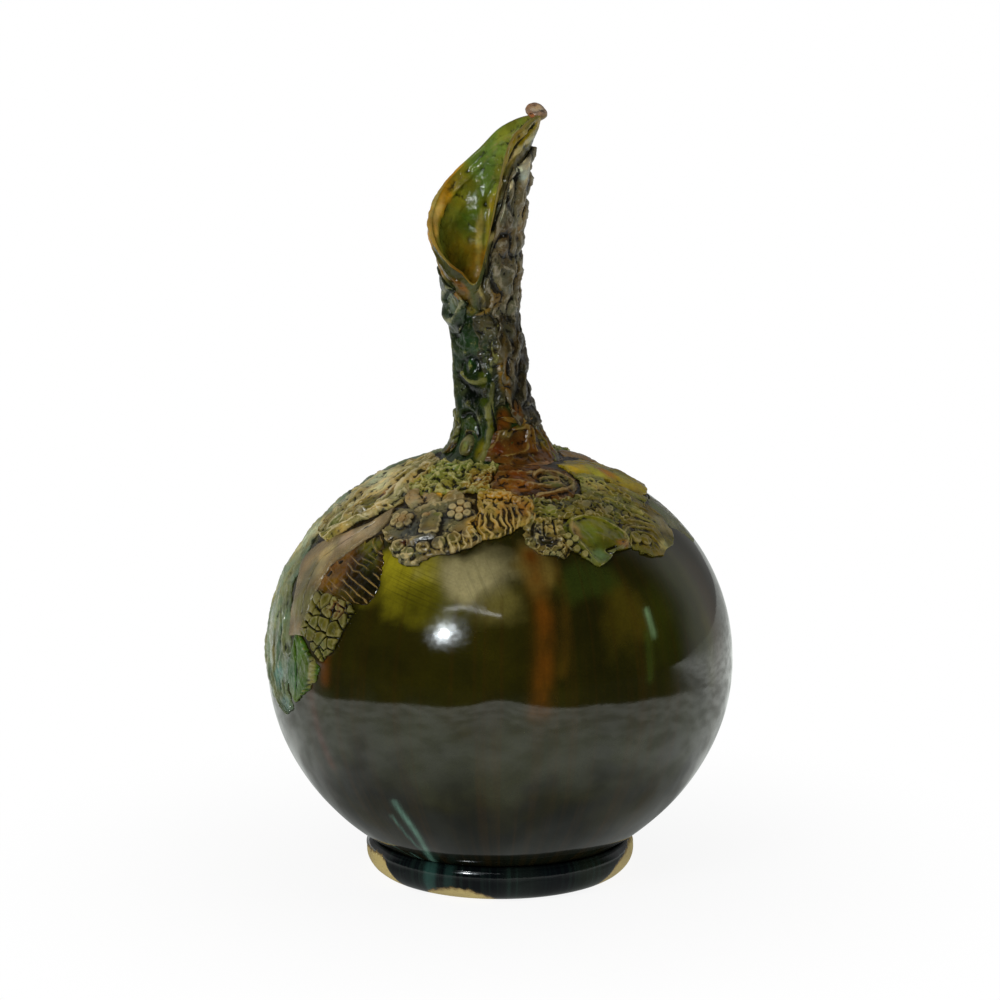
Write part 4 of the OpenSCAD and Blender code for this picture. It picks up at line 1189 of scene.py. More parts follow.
strip_coats = [
    (4, 0.95, 12, 0.08, "3f3c2a", 0.9),
    (0, 0.8, 8, 0.1, "1e2816", 0.8),
    (8, 0.7, 8, 0.12, "1c1e12", 0.85),
    (20, 0.74, 6, 0.14, "4c3a0c", 0.85),
    (4, 1.08, 14, 0.06, "5a4816", 0.8),
]
strip = wrapped_on(
    "strip_up_the_neck", on_spout, (-14, 26), (0.5, 1.125), 0.5, (40, 11), 0.9, strip_relief,
    "1f1e12", strip_coats, ragged=1.4,
)
finish_piece(strip, clay_glaze("strip_glaze", "45432a", "070804", 0.8, 0.8), "green_glaze", "wrap_strip")


# Root pieces. Small pads of clay lap around the neck's root to hide its joint: a
# leaf with sunk panels, a round button, a chain of pods and a cushion.
def cobbles(points, size, seed):
    """Distance past the middle line between the two nearest of many scattered stones,
    0 in the gap between them and growing inward, in millimetres"""
    scaled = points / size
    base = np.floor(scaled).astype(np.int64)
    first = np.full(points.shape[:-1], 9.0)
    second = first.copy()
    for near in np.ndindex(3, 3, 3):
        cell = base + np.array(near) - 1
        stone = cell + np.stack([cell_value(cell, seed + axis) for axis in range(3)], -1) * 0.8 + 0.1
        far = np.linalg.norm(scaled - stone, axis=-1)
        second = np.minimum(second, np.maximum(first, far))
        first = np.minimum(first, far)
    return (second - first) * size


def root_leaf_relief(s, v, points):
    outline = [
        [(4, 0.417), (0, 0.335), (-7, 0.278), (-12, 0.25)],
        [(13, 0.33), (22, 0.37), (42, 0.375), (38, 0.32), (31, 0.23), (10, 0.19), (2, 0.18)],
        [(50, 0.37), (47, 0.305), (45, 0.208)],
        [(60, 0.35), (69, 0.265), (64, 0.175)],
        [(72, 0.36), (78, 0.27), (76, 0.18)],
        [(10, 0.34), (12, 0.44), (24, 0.48), (40, 0.46), (44, 0.38)],
    ]
    height = 0.5 * clouds(points, 4, 105) + 0.7 * crests(points, 8, 109)
    height = height + strokes(points, on_neck, [(places, 0.8, 0.8) for places in outline])
    return height - stroke(points, on_neck, [(18, 0.29), (26, 0.27)], 3.4, 0.9)


root_leaf_coats = [
    (20, 0.28, 12, 0.07, "3c2004", 0.95),
    (32, 0.4, 8, 0.06, "3a3408", 0.85),
    (18, 0.42, 8, 0.06, "5a4210", 0.8),
    (-2, 0.26, 10, 0.07, "3a1804", 0.85),
    (44, 0.3, 8, 0.1, "4a340a", 0.8),
    (10, 0.36, 12, 0.04, "5a4a1c", 0.8),
    (62, 0.25, 12, 0.1, "4a4210", 0.8),
    (30, 0.17, 30, 0.03, "1e1004", 0.8),
]
root_leaf = wrapped_on(
    "leaf_at_root", on_neck, (-12, 82), (0.07, 0.38), 0.5, (22, 32), 1.0, root_leaf_relief,
    "40280a", root_leaf_coats, fine=0.3, spill=(4.5, 3.0), ragged=1.4,
)
root_leaf_glaze = clay_glaze("root_leaf_glaze", "7a6430", "120802", 0.9, 0.6)
finish_piece(root_leaf, root_leaf_glaze, "amber_glaze", "root_leaf")


def bell(value, middle, width, power=2):
    """Smooth swell of 1 where a value is at the middle, 0 well outside its width"""
    return np.exp(-(((value - middle) / width) ** power))


def button_relief(s, v, points):
    far = np.linalg.norm((points - on_neck(-42, 0.25)) * [1.0, 1.0, 0.72], axis=-1)
    rim = 0.6 * bell(far, 3.0, 0.8) + 0.9 * blend(3.4, 2.0, far)
    return rim - 1.4 * bell(far, 4.4, 0.8) + 0.3 * clouds(points, 3, 111)


button_coats = [
    (-42, 0.25, 5, 0.06, "50562e", 0.9),
    (-34, 0.24, 4, 0.1, "12140a", 0.8),
    # The dark coat below is painted shadow beside the button's raised rim.
    (-50, 0.2, 5, 0.1, "1a1c10", 0.8),
]
button = wrapped_on(
    "button_at_root", on_neck, (-54, -28), (0.14, 0.36), 0.5, (14, 9), 1.2, button_relief,
    "3c3a20", button_coats, fine=0.25,
)
finish_piece(button, clay_glaze("button_glaze", "6c6840", "0c0b05", 0.9, 0.7), "green_glaze", "root_button")


def pod_relief(s, v, points):
    return 1.2 * blend(0.0, 1.0, cobbles(points * [1, 1, 0.7], 4.6, 115)) - 0.6 + 0.3 * clouds(points, 3, 117)


pods = wrapped_on(
    "pods_at_root", on_neck, (-112, -64), (0.1, 0.46), 0.6, (24, 18), 1.2, pod_relief,
    "3a401c", [(-80, 0.4, 14, 0.1, "4c5230", 0.8), (-68, 0.2, 12, 0.1, "3c2408", 0.8)], fine=0.3,
)
finish_piece(pods, clay_glaze("pod_glaze", "7c7a4c", "0a0904", 0.9, 0.8), "green_glaze", "root_pods")


def cushion_relief(s, v, points):
    return 0.4 * clouds(points, 5, 121) - 0.8 * v**2


cushion = wrapped_on(
    "cushion_at_root", on_neck, (18, 58), (0.012, 0.075), 0.8, (9, 18), 1.8, cushion_relief,
    "6a4c30", [(22, 0.03, 8, 0.06, "2c3420", 0.9)], fine=0.3, spill=(1.0, 1.0),
)
finish_piece(cushion, clay_glaze("cushion_glaze", "8a7850", "1a140a", 0.9, 0.9), "mauve_clay", "root_cushion")


# Moss patch. Green pinched clay fills the left of the neck's root in crumpled
# leafy crests with black glaze between them.
drawn_tilt = 13.3


def on_shoulder(turn, tilt, rise=0.0):
    """Skin of the globe for slabs. Their outlines are drawn for a seat at the drawn tilt,
    and tilts above the widest line follow the seat"""
    moved = 90 - (90 - tilt) * (90 - seat_tilt) / (90 - drawn_tilt)
    return on_globe(turn, np.where(np.asarray(tilt) > 90, tilt, moved), rise)


def between_edges(table):
    """Place of a slab between the two edges of its table"""

    def place(s, v):
        row, share = smooth_row(table, s), ((v + 1) / 2)[..., None]
        spot = row[..., :2] * (1 - share) + row[..., 2:] * share
        return spot[..., 0], spot[..., 1]

    return place


def table_size(table):
    """Rough length and width in millimetres of the slab that a table describes"""
    row = smooth_row(table, np.linspace(0, 1, 13))
    first, second = on_shoulder(row[:, 0], row[:, 1]), on_shoulder(row[:, 2], row[:, 3])
    middle = (first + second) / 2
    return np.linalg.norm(np.diff(middle, axis=0), axis=1).sum(), np.linalg.norm(first - second, axis=1).max()


def pressed(name, table, thick, relief, ground, coats, **more):
    """Slab pressed onto the globe between the edges of its table"""
    more = {"spill": (1.0, 2.2), "ragged": 1.7, **more}
    place, size = between_edges(table), table_size(table)
    return clay_slab(name, on_shoulder, place, size, thick, relief, ground, coats, **more)


def reach_from(points, turn, tilt):
    """Distance in millimetres from a place on the globe"""
    return np.linalg.norm(points - on_shoulder(turn, tilt), axis=-1)


def dots(points, places, radius, height, inner=0.0):
    """Flat-topped discs pressed on at turn and tilt places, or rings where inner is above zero"""
    total = 0.0
    for turn, tilt in places:
        far = reach_from(points, turn, tilt)
        if inner:
            total = total + height * bell(far, inner, radius)
        else:
            disc = np.clip(2.2 * np.sqrt(np.clip(1 - (far / radius) ** 2, 0, 1)), 0, 1)
            total = np.maximum(total, height * disc)
    return total


def drawn(s, v, long, wide):
    """Flat place on a slab, for patterns that run along it"""
    return np.stack([s * long, v * wide, 0 * s], -1)


moss_patch_turn = [
    [-56, 14.4, -47, 26.6], [-43, 14.2, -37.5, 26], [-29, 14.2, -27, 24.8], [-16, 14.2, -15, 24.3],
    [-4, 14.2, -5, 23.4]
]


def moss_relief(s, v, points):
    leaves = 1.6 * lumps(points, 7, 135) + 1.5 * crests(points, 5, 137) + 0.5 * crests(points, 2.6, 138)
    return leaves + 0.8 * clouds(points, 8, 139) - 1.4


moss_coats = [
    (-36, 20, 12, 5, "4c5626", 0.8),
    (-14, 21, 10, 4, "6b4a0c", 0.85),
    (-30, 17, 14, 2.4, "5a6426", 0.8),
    (-48, 20, 8, 5, "6c6a2c", 0.8),
    (-4, 19, 8, 4, "5a3808", 0.9),
]
moss = pressed("moss_at_root", moss_patch_turn, 2.4, moss_relief, "5c5c28", moss_coats, edge=1.4, fine=0.3)
finish_piece(moss, clay_glaze("moss_glaze", "aca668", "080a02", 1.2, 0.6, 0.7), "moss_glaze", "moss_patch")


# Lump row. A row of pale grey lumps of clay, some with thumb marks, runs between the
# root and the rosettes.
lump_row_turn = [
    [-46, 27.4, -41, 31], [-41.5, 26.8, -34.5, 32.4], [-35, 26.4, -30.5, 30.6], [-27.5, 25.6, -24.5, 28.4],
    [-19, 25.4, -17.5, 27.4]
]


def lump_relief(s, v, points):
    thumbs = 2.0 * lumps(points, 9, 141) + 0.5 * crests(points, 5, 145)
    hollow = dots(points, [(-37, 31.4), (-27.6, 27.2)], 2.2, -1.6)
    return thumbs + hollow + 0.4 * clouds(points, 3, 143) - 0.9


lump_coats = [
    (-28, 26.4, 3, 1.4, "a07812", 0.9),
    (-40, 29.5, 6, 2.4, "8a7a5c", 0.9),
    (-33, 29, 4, 2.4, "7c6c50", 0.8),
    (-24, 27, 3, 2, "6a4e14", 0.8),
]
lump_piece = pressed("lumps_by_root", lump_row_turn, 1.6, lump_relief, "6e5f3e", lump_coats, fine=0.3)
finish_piece(lump_piece, clay_glaze("lump_glaze", "a3946a", "140f06", 0.8, 1.0), "mauve_clay", "lump_row")


# Shoulder band. A broad fibrous band of clay wraps the left shoulder, its long
# strokes run down and round, with an olive recess and a dark undercut edge.
shoulder_band_turn = [
    [-92, 14.6, -58.5, 14.6], [-88, 23, -50, 25], [-87, 30, -47.5, 31], [-83, 37, -52, 36],
    [-79, 43, -58.5, 41.5], [-75.5, 48, -66, 49]
]


def shoulder_relief(s, v, points):
    strokes = 1.2 * crests(drawn(s, v, 26, 16), 5, 155) + 0.9 * lumps(drawn(s, v, 34, 18), 7, 157)
    rope = stroke(points, on_shoulder, [(-60, 18), (-53, 26), (-51, 32), (-57, 40), (-70, 49)], 2.0, 1.5)
    gully = stroke(points, on_shoulder, [(-62, 20), (-57, 27), (-56, 32), (-61, 39), (-72, 47)], 1.9, -1.9)
    return strokes + rope + gully + 0.9 * clouds(points, 10, 151) + 0.3 * clouds(points, 2.2, 153) - 0.9


shoulder_coats = [
    (-56, 26, 8, 7, "8a7c54", 0.85),
    (-60, 33, 5, 8, "3f4010", 0.9),
    (-72, 26, 12, 8, "aa9f7a", 0.85),
    (-64, 21, 10, 4, "5e5a2c", 0.8),
    (-68, 44, 6, 5, "4e4e1c", 0.85),
    (-53, 34, 4, 5, "8f7c50", 0.8),
    (-76, 40, 6, 8, "75704c", 0.8),
    (-84, 34, 8, 16, "8e9078", 0.75),
    (-60, 28, 2.5, 3, "6e4e2a", 0.8),
]
shoulder = pressed(
    "band_on_shoulder", shoulder_band_turn, 2.2, shoulder_relief, "776c44", shoulder_coats,
    edge=1.4,
)
fibre_glaze = clay_glaze("fibre_glaze", "c6ba90", "100e06", 0.8, 0.8, 0.6)
finish_piece(shoulder, fibre_glaze, "amber_glaze", "shoulder_band")


# Smooth band. A plain mauve-tan strip of bare clay curves down the left shoulder
# with one long crack and a soft rolled edge.
smooth_band_turn = [
    [-46, 32.8, -43.6, 36], [-50.4, 38.4, -45, 41], [-57.4, 44.2, -50.5, 47.4], [-68, 50.6, -56.4, 54.4],
    [-71.5, 58, -57.8, 61.2], [-66, 66, -57.6, 67.6], [-62.5, 77, -56.5, 76]
]


def smooth_relief(s, v, points):
    crack = stroke(points, on_shoulder, [(-49, 38.5), (-55, 46), (-62, 55), (-61, 64), (-59, 70)], 0.6, -0.7)
    bead = 0.5 * bell(v, 0.86, 0.08) * lumps(drawn(s, v, 60, 4), 2, 165)
    return crack + bead + 0.5 * clouds(points, 9, 161) + 0.12 * crests(drawn(s, v, 14, 9), 4, 163) - 0.4 * v**4


smooth_coats = [
    (-62, 58, 6, 8, "6c6040", 0.8),
    (-50, 41, 6, 5, "86765a", 0.85),
    (-56, 46, 4, 4, "7d6a54", 0.8),
    (-61, 52, 4, 5, "8a7a52", 0.8),
    (-64, 62, 4, 8, "4e4a34", 0.8),
    (-59, 68, 6, 5, "4c4c2c", 0.8),
]
smooth = pressed(
    "smooth_strip", smooth_band_turn, 1.2, smooth_relief, "5c5038", smooth_coats,
    ragged=0.7, spill=(0.3, 2.8),
)
smooth_strip_clay = clay_glaze("smooth_strip_clay", "7c7050", "2a2210", 0.3, 1.4, 0.25)
finish_piece(smooth, smooth_strip_clay, "mauve_clay", "smooth_band")


# Ribbed slab. About eleven thin ridges slant across a slab of amber glaze. They
# break pale, and the glaze between them turns olive above and near black below.
ribbed_slab_turn = [
    [-44.5, 42.5, -42, 42.5], [-49, 48, -38.5, 49.5], [-52.5, 52, -36.5, 54.5], [-55.5, 56, -36.5, 59.5],
    [-56.5, 60, -39, 63.5], [-56, 63.5, -47, 63]
]


def slanted_ribs(s, v, points, count, slant, seed):
    """Thin sharp ribs that slant across a slab, some of them weaker than others"""
    wave = np.cos(2 * math.pi * (count * s + slant * v + 0.3 * clouds(points, 9, seed, 2)))
    weak = 0.55 + 0.45 * np.clip(1.5 * clouds(points, 5, seed + 5, 2), -1, 1)
    return np.clip(wave, 0, 1) ** 3 * weak


def ribbed_relief(s, v, points):
    ribs = slanted_ribs(s, v, points, 11, -0.9, 171) * (0.3 + 0.7 * blend(-0.7, 0.2, v))
    return 1.3 * ribs - 0.3 + 0.35 * clouds(points, 5, 173)


ribbed_coats = [
    (-52, 54, 5, 10, "4e3002", 0.95),
    (-54, 60, 5, 4, "583c04", 0.9),
    (-44, 46, 5, 4, "46420a", 0.9),
    (-41, 52, 4, 5, "3c3e0a", 0.9),
    (-39, 58, 6, 6, "0c0e05", 0.95),
    (-47, 62, 8, 3, "2e2808", 0.8),
]
ribbed = pressed(
    "ribbed_fan", ribbed_slab_turn, 0.6, ribbed_relief, "251a02", ribbed_coats,
    fine=0.27, spill=(0.6, 2.8), ragged=1.4,
)
ribbed_glaze = clay_glaze("ribbed_glaze", "8a703a", "080602", 0.6, 0.6, 0.3)
finish_piece(ribbed, ribbed_glaze, "amber_glaze", "ribbed_slab")


# Cobble strip. Small pale-olive pellets were pressed side by side below the ribbed
# slab, with black glaze in the gaps and one four-lobed pellet flower.
cobble_strip_turn = [
    [-54, 62.5, -43, 63.5], [-55.5, 68.5, -40.5, 67], [-56.2, 71.5, -42, 70], [-56, 75, -44, 74.5],
    [-52, 77.5, -45, 77.5], [-48.5, 80.5, -47.5, 81]
]
flower_lobes = [(-48.3, 65.5), (-44.8, 65.4), (-48.2, 68.2), (-44.7, 68.2)]


def cobble_relief(s, v, points):
    stones = 1.7 * blend(0.0, 0.8, cobbles(points, 5.6, 181)) - 0.8
    flower = dots(points, flower_lobes, 2.1, 1.6)
    near = bell(reach_from(points, -46.5, 66.8), 0, 4.0, 4)
    return stones * (1 - near) + (flower - 0.9) * near + 0.25 * clouds(points, 2.5, 183)


cobble_coats = [
    (-46.5, 66, 4, 3.4, "42260a", 0.95),
    (-54, 68, 3, 4, "55511c", 0.85),
    (-53, 74, 5, 3, "4c4818", 0.8),
    (-48, 78, 5, 3, "4c4e28", 0.8),
]
cobble = pressed(
    "pellet_strip", cobble_strip_turn, 1.2, cobble_relief, "403d0e", cobble_coats,
    fine=0.26, spill=(0.4, 1.6),
)
finish_piece(cobble, clay_glaze("pellet_glaze", "7a7442", "020201", 0.6, 0.5), "moss_glaze", "cobble_strip")


# Green blade. A small leaf ends the left trail. Its middle is teal over green, and
# its right edge is pinched into pale beads.
green_blade_turn = [
    [-60.5, 77, -58.5, 76], [-61, 81, -54, 79.5], [-61.5, 84.5, -49.5, 83], [-61.5, 88.5, -50, 86.5],
    [-60.5, 92.5, -53, 90.5], [-59, 95.5, -56.5, 94.5]
]


def blade_relief(s, v, points):
    beads = bell(v, 0.8, 0.14) * (0.5 + 0.5 * np.cos(2 * math.pi * 15 * s)) ** 0.6
    vein = stroke(points, on_shoulder, [(-59.5, 78), (-57.5, 84), (-57, 90), (-57.5, 94)], 0.7, -0.5)
    return 0.7 * beads + vein + 0.35 * clouds(points, 4, 191) - 0.5 * v**2


blade_coats = [
    (-57, 88, 3, 5, "2b462c", 0.9),
    (-57, 81, 4, 4, "304610", 0.85),
    (-54, 85, 3, 4, "384818", 0.8),
    (-57, 94, 4, 3, "3e4e24", 0.8),
    (-50.5, 85, 1.6, 8, "5c5a34", 0.9),
    (-61, 86, 2, 8, "304432", 0.8),
]
blade = pressed(
    "blade_leaf", green_blade_turn, 1.0, blade_relief, "283c08", blade_coats,
    fine=0.26, spill=(0.4, 1.2),
)
blade_glaze = clay_glaze("blade_glaze", "6e6c34", "0a1006", 0.5, 0.5, 0.3, 0.35)
finish_piece(blade, blade_glaze, "green_glaze", "green_blade")


# Edge frond. A long grey-green frond lies down the left side of the globe, its
# fibres drawn along it and its glaze milky with teal and rust.
edge_frond_turn = [
    [-106, 36, -90, 35], [-101, 43, -85, 43], [-97, 50, -78, 50.5], [-95, 57, -74, 57.5],
    [-93, 63, -73.5, 64], [-91, 70, -67.5, 70.5], [-88, 77, -63.5, 77], [-85, 84, -63, 84],
    [-80, 91, -63, 90.5], [-72, 97, -61.5, 96.5], [-64.5, 100, -61.5, 99]
]


def frond_relief(s, v, points):
    fibres = 0.8 * crests(drawn(s, v, 34, 17), 5, 201) + 0.5 * lumps(drawn(s, v, 30, 15), 6, 203)
    return fibres + 0.4 * clouds(points, 9, 205) + 0.15 * clouds(points, 2, 207) - 0.5 - 0.4 * v**4


frond_coats = [
    (-68, 70, 5, 14, "4e5c48", 0.8),
    (-82, 52, 8, 10, "a29e80", 0.85),
    (-67, 88, 3, 8, "44605a", 0.85),
    (-80, 75, 8, 20, "6f7660", 0.8),
    (-72, 82, 2.4, 6, "4a4a34", 0.8),
    (-64, 97, 3, 3, "4c5c56", 0.8),
    (-92, 60, 8, 30, "969c88", 0.7),
]
frond = pressed(
    "frond_on_side", edge_frond_turn, 0.9, frond_relief, "4a5440", frond_coats,
    fine=0.36, ragged=1.6, undercut=0.15,
)
finish_piece(frond, clay_glaze("frond_glaze", "93967c", "1a2016", 0.8, 0.5, 0.4), "green_glaze", "edge_frond")


# Rosette strip. The broadest slab of the shoulder carries rosettes and small discs
# of pale clay in a pool of dark grey glaze, over a lumpy undercut lower edge.
rosette_strip_turn = [
    [-43, 36.5, -40, 43], [-41, 34, -33, 48], [-34.5, 33.6, -26, 49.5], [-29, 31.6, -21.5, 46.5],
    [-23.5, 29.4, -16, 44.5], [-17, 28.4, -11, 43], [-11.8, 28, -7.8, 41]
]
# Rosettes: turn and tilt of the middle, and spread of the petals in degrees of turn and tilt
rosette_middles = [
    (-15.9, 31.7, 3.5, 2.3), (-25.4, 35.4, 2.9, 1.9), (-24.6, 38.8, 2.6, 1.7), (-36.6, 37.0, 3.2, 2.0)
]
edge_lumps = [(-32.6, 45.6), (-28.4, 47.6), (-24.1, 45.2), (-19.5, 43.4), (-14.9, 41.6), (-10.4, 39.6)]


def petals(middle):
    """Places of six petals round the middle of a rosette"""
    turn, tilt, wide, tall = middle
    swing = np.radians(np.arange(0, 360, 60) + 20)
    return [(turn, tilt)] + list(zip(turn + wide * np.cos(swing), tilt + tall * np.sin(swing)))


def rosette_relief(s, v, points):
    height = pool = 0.0
    for middle in rosette_middles:
        height = np.maximum(height, dots(points, petals(middle), 1.72, 1.3))
        pool = np.maximum(pool, blend(9.0, 6.0, reach_from(points, *middle[:2])))
    pool = np.maximum(pool, blend(3.0, 1.6, reach_from(points, -20.6, 33.6)))
    shell = stroke(points, on_shoulder, [(-22.5, 41), (-25.5, 41.8), (-29, 43.4)], 2.2, 1.3)
    knobs = dots(points, edge_lumps, 3.0, 1.0)
    pits = dots(points, [(-31, 44.4), (-30.4, 39.6), (-20.8, 38.6)], 2.2, -1.4)
    teeth = np.clip(np.cos(2 * math.pi * 15 * s), 0, 1) ** 2 * blend(0.4, 0.75, v) * blend(0.5, 0.66, s)
    rough = 0.7 * lumps(points, 6, 213) + 0.9 * crests(points, 5, 215) + 0.7 * clouds(points, 8, 211) - 0.9
    return 0.8 * rough * (1 - 0.9 * pool) - 0.5 * pool + height + shell + 0.8 * knobs + pits + 1.0 * teeth


rosette_coats = [
    (-20.5, 33, 2.6, 4.5, "3a3730", 1.0),
    (-11, 34, 3, 3, "3e3a30", 0.8),
    (-31, 39.5, 3, 5, "3c3a34", 1.0),
    (-26, 42, 9, 2.4, "45423a", 0.9),
    (-15.9, 31.7, 3.4, 2.4, "7c6440", 0.9),
    (-25, 36.6, 2.6, 3, "6f6038", 0.9),
    (-36.6, 37, 3, 2.2, "6c5838", 0.85),
    (-29, 33.6, 2, 1.4, "70420c", 0.9),
    (-24, 33.4, 3, 1.2, "5e5a14", 0.8),
    (-28, 46.5, 8, 2.4, "4c4624", 0.85),
    (-30.5, 44.4, 1.6, 1.2, "2c0c04", 0.9),
    (-16, 42, 6, 2, "5c5220", 0.8),
    (-10, 37, 3, 4, "8a7434", 0.8),
    (-40.5, 41, 2.4, 3, "4e4418", 0.8),
]
rosettes = pressed(
    "rosette_slab", rosette_strip_turn, 2.4, rosette_relief, "554c32", rosette_coats,
    fine=0.27, edge=1.6, ragged=2.2,
)
rosette_glaze = clay_glaze("rosette_glaze", "ac9b6a", "0c0a06", 0.8, 0.6, 0.5)
finish_piece(rosettes, rosette_glaze, "mauve_clay", "rosette_strip")


# Gill strip. Amber scales run along the top of the middle slab, and pale radial
# ribs hang below them to its lower edge.
gill_strip_turn = [
    [-10.6, 26, -6.6, 40.5], [-6.5, 24.8, -2, 39.4], [0, 24.6, 2.5, 37.8], [6.4, 25.9, 6, 36],
    [14, 27.4, 12.4, 34]
]


def gill_relief(s, v, points):
    wave = np.cos(2 * math.pi * (9 * s + 0.35 * v + 0.6 * clouds(points, 6, 225, 2)))
    ends = 0.7 + 0.5 * clouds(points, 4, 223, 2)
    gills = np.clip(wave + 0.2, 0, 1) ** 1.4 * blend(-0.2, 0.15, v) * ends
    scales = [(-8.5, 27.2), (-4, 26.6), (-5.1, 28.8), (-0.5, 26.4), (3.4, 27), (7, 28.2)]
    scales = dots(points, scales, 2.0, 1.0)
    rough = (0.9 * lumps(points, 4, 227) + 0.7 * crests(points, 3.4, 229)) * (1 - blend(-0.2, 0.15, v))
    return 1.5 * gills + scales + rough - 0.7 + 0.3 * clouds(points, 4, 221)


gill_coats = [
    (-4, 27, 9, 2.4, "7c5808", 0.9),
    (4, 27, 6, 2.4, "6a4c10", 0.8),
    (0, 31, 10, 2.4, "7c6030", 0.85),
    (-2, 35.5, 10, 3, "86703c", 0.85),
    (8, 31, 3, 3, "6e4c1c", 0.8),
    (-3, 39, 6, 2, "4c3c14", 0.8),
]
gills = pressed("gilled_slab", gill_strip_turn, 2.2, gill_relief, "705820", gill_coats, fine=0.28, edge=1.4)
finish_piece(gills, clay_glaze("gill_glaze", "a89058", "0c0803", 1.1, 0.6), "amber_glaze", "gill_strip")


# Strap loop. Thick brown folds come off the front of the neck's root and end on the
# right in a rounded loop, with a grey-olive coil on top.
strap_loop_turn = [
    [-2.6, 14.2, -2.6, 22.8], [9, 14.2, 8, 24.8], [21, 14.4, 19, 27.2], [32, 15.2, 29, 27.4],
    [41, 17, 37, 26.2], [46.6, 19, 42, 24]
]


def strap_relief(s, v, points):
    folds_and_loop = strokes(points, on_shoulder, [
        ([(0, 17.5), (12, 17.8), (26, 18.8), (36, 20.4)], 2.0, 1.4),
        ([(2, 20.6), (12, 21.8), (24, 23.6), (33, 23.6)], 1.8, 1.3),
        ([(22, 19.4), (30, 18.6), (38, 20), (42, 22.4), (38, 25), (28, 26), (18, 26.6)], 1.2, 1.5),
        ([(24, 21), (30, 20.6), (35, 22), (30, 23), (25, 22.4)], 1.0, 1.0),
    ])
    rough = 0.7 * lumps(points, 6, 233) + 0.5 * crests(points, 5, 235)
    return folds_and_loop + 0.7 * rough + 0.4 * clouds(points, 5, 231) - 0.9


strap_coats = [
    (10, 18, 10, 3, "4c2606", 0.9),
    (2, 20, 6, 4, "5c3c0c", 0.8),
    (12, 22, 8, 3, "5a380c", 0.8),
    (28, 22, 8, 2.6, "3e4226", 0.95),
    (30, 21.4, 3.6, 1.6, "5e5a3c", 0.9),
    (38, 23, 4, 3, "545030", 0.8),
    (16, 25.5, 8, 1.6, "2a1404", 0.9),
]
strap = pressed(
    "strap_at_root", strap_loop_turn, 2.2, strap_relief, "40280c", strap_coats,
    fine=0.28, edge=1.5,
)
finish_piece(strap, clay_glaze("strap_glaze", "8a7448", "0c0602", 0.8, 0.6), "amber_glaze", "strap_loop")


# Stamp block. A small block right of the middle is scored with short grooves, and
# dark grey glaze pools on it above a beaded lower end.
stamp_slab_turn = [
    [11.8, 34, 21.6, 34], [9.6, 37, 21.2, 38], [9.2, 42, 20.8, 43.2], [12.4, 46, 18.4, 47.4]
]


def stamp_relief(s, v, points):
    scores = -1.2 * np.clip(np.cos(2 * math.pi * 4 * (v * 0.5 + 0.5)), 0, 1) ** 3
    scores = scores * blend(0.1, 0.25, s) * (1 - blend(0.45, 0.55, s))
    pool = -1.2 * bell(reach_from(points, 15.4, 41.6), 0, 3.4, 4)
    beads = dots(points, [(14, 46), (16, 47), (18, 46.6)], 1.3, 0.9)
    rough = 0.7 * lumps(points, 4, 243) + 0.8 * crests(points, 3.4, 245)
    return scores + pool + beads + rough + 0.3 * clouds(points, 4, 241) - 0.8


stamp_coats = [
    (13, 40, 3.4, 4, "26241e", 1.0),
    (17, 42.4, 4, 2, "24221c", 0.95),
    (18, 37.5, 4, 2, "7c6c3c", 0.85),
    (14, 35, 4, 1.6, "6c5a20", 0.8),
    (16, 46.5, 4, 1.4, "6a6440", 0.8),
]
stamp = pressed(
    "scored_block", stamp_slab_turn, 1.5, stamp_relief, "4c4320", stamp_coats,
    fine=0.25, spill=(1.6, 2.4),
)
finish_piece(stamp, clay_glaze("block_glaze", "9c8e5c", "0d0b06", 0.8, 0.8), "mauve_clay", "stamp_slab")


# Scale row. Overlapping oval scales of olive clay run above the big leaf from the
# block to the right shoulder.
scale_row_turn = [
    [13.5, 28, 12, 33.4], [24, 28.4, 22, 33], [32.5, 28.2, 29.5, 32.8], [40.5, 28.2, 37, 33.4],
    [49, 29.6, 45.6, 36], [57, 32.4, 54.5, 38.4]
]
# Ovals: turn, tilt, half length and half width in millimetres
scale_places = [
    (20.5, 31.0, 4.2, 2.4), (29, 31.4, 3.6, 2.0), (37.5, 30.6, 5.0, 2.4), (45.6, 33.6, 4.6, 2.2),
    (36, 33.6, 3.4, 1.8),
]


def scale_relief(s, v, points):
    height = 0.0
    for turn, tilt, long, wide in scale_places:
        off = points - on_shoulder(turn, tilt)
        along = on_shoulder(turn + 2, tilt - 0.5) - on_shoulder(turn, tilt)
        along = along / np.linalg.norm(along)
        ahead = off @ along
        side = np.sqrt(np.maximum((off**2).sum(-1) - ahead**2, 0))
        height = np.maximum(height, np.clip(2.4 * (1 - np.hypot(ahead / long, side / wide)), 0, 1))
    rough = 0.8 * crests(points, 4, 253) + 0.6 * lumps(points, 4, 255)
    return 1.3 * height + rough * (1 - height) - 0.6 + 0.25 * clouds(points, 3, 251)


scale_coats = [
    (21, 31, 4, 1.8, "50501c", 0.85),
    (30, 31.4, 3, 1.4, "5c5a26", 0.8),
    (38, 30.4, 5, 2, "57502c", 0.8),
    (45, 33.4, 4, 1.8, "6c5c34", 0.8),
    (26, 29, 12, 1.0, "2c2a0c", 0.8),
]
scales = pressed(
    "scale_chain", scale_row_turn, 1.3, scale_relief, "464216", scale_coats,
    fine=0.27, spill=(4.5, 3.4),
)
finish_piece(scales, clay_glaze("scale_glaze", "95895a", "0a0903", 0.8, 0.8), "moss_glaze", "scale_row")


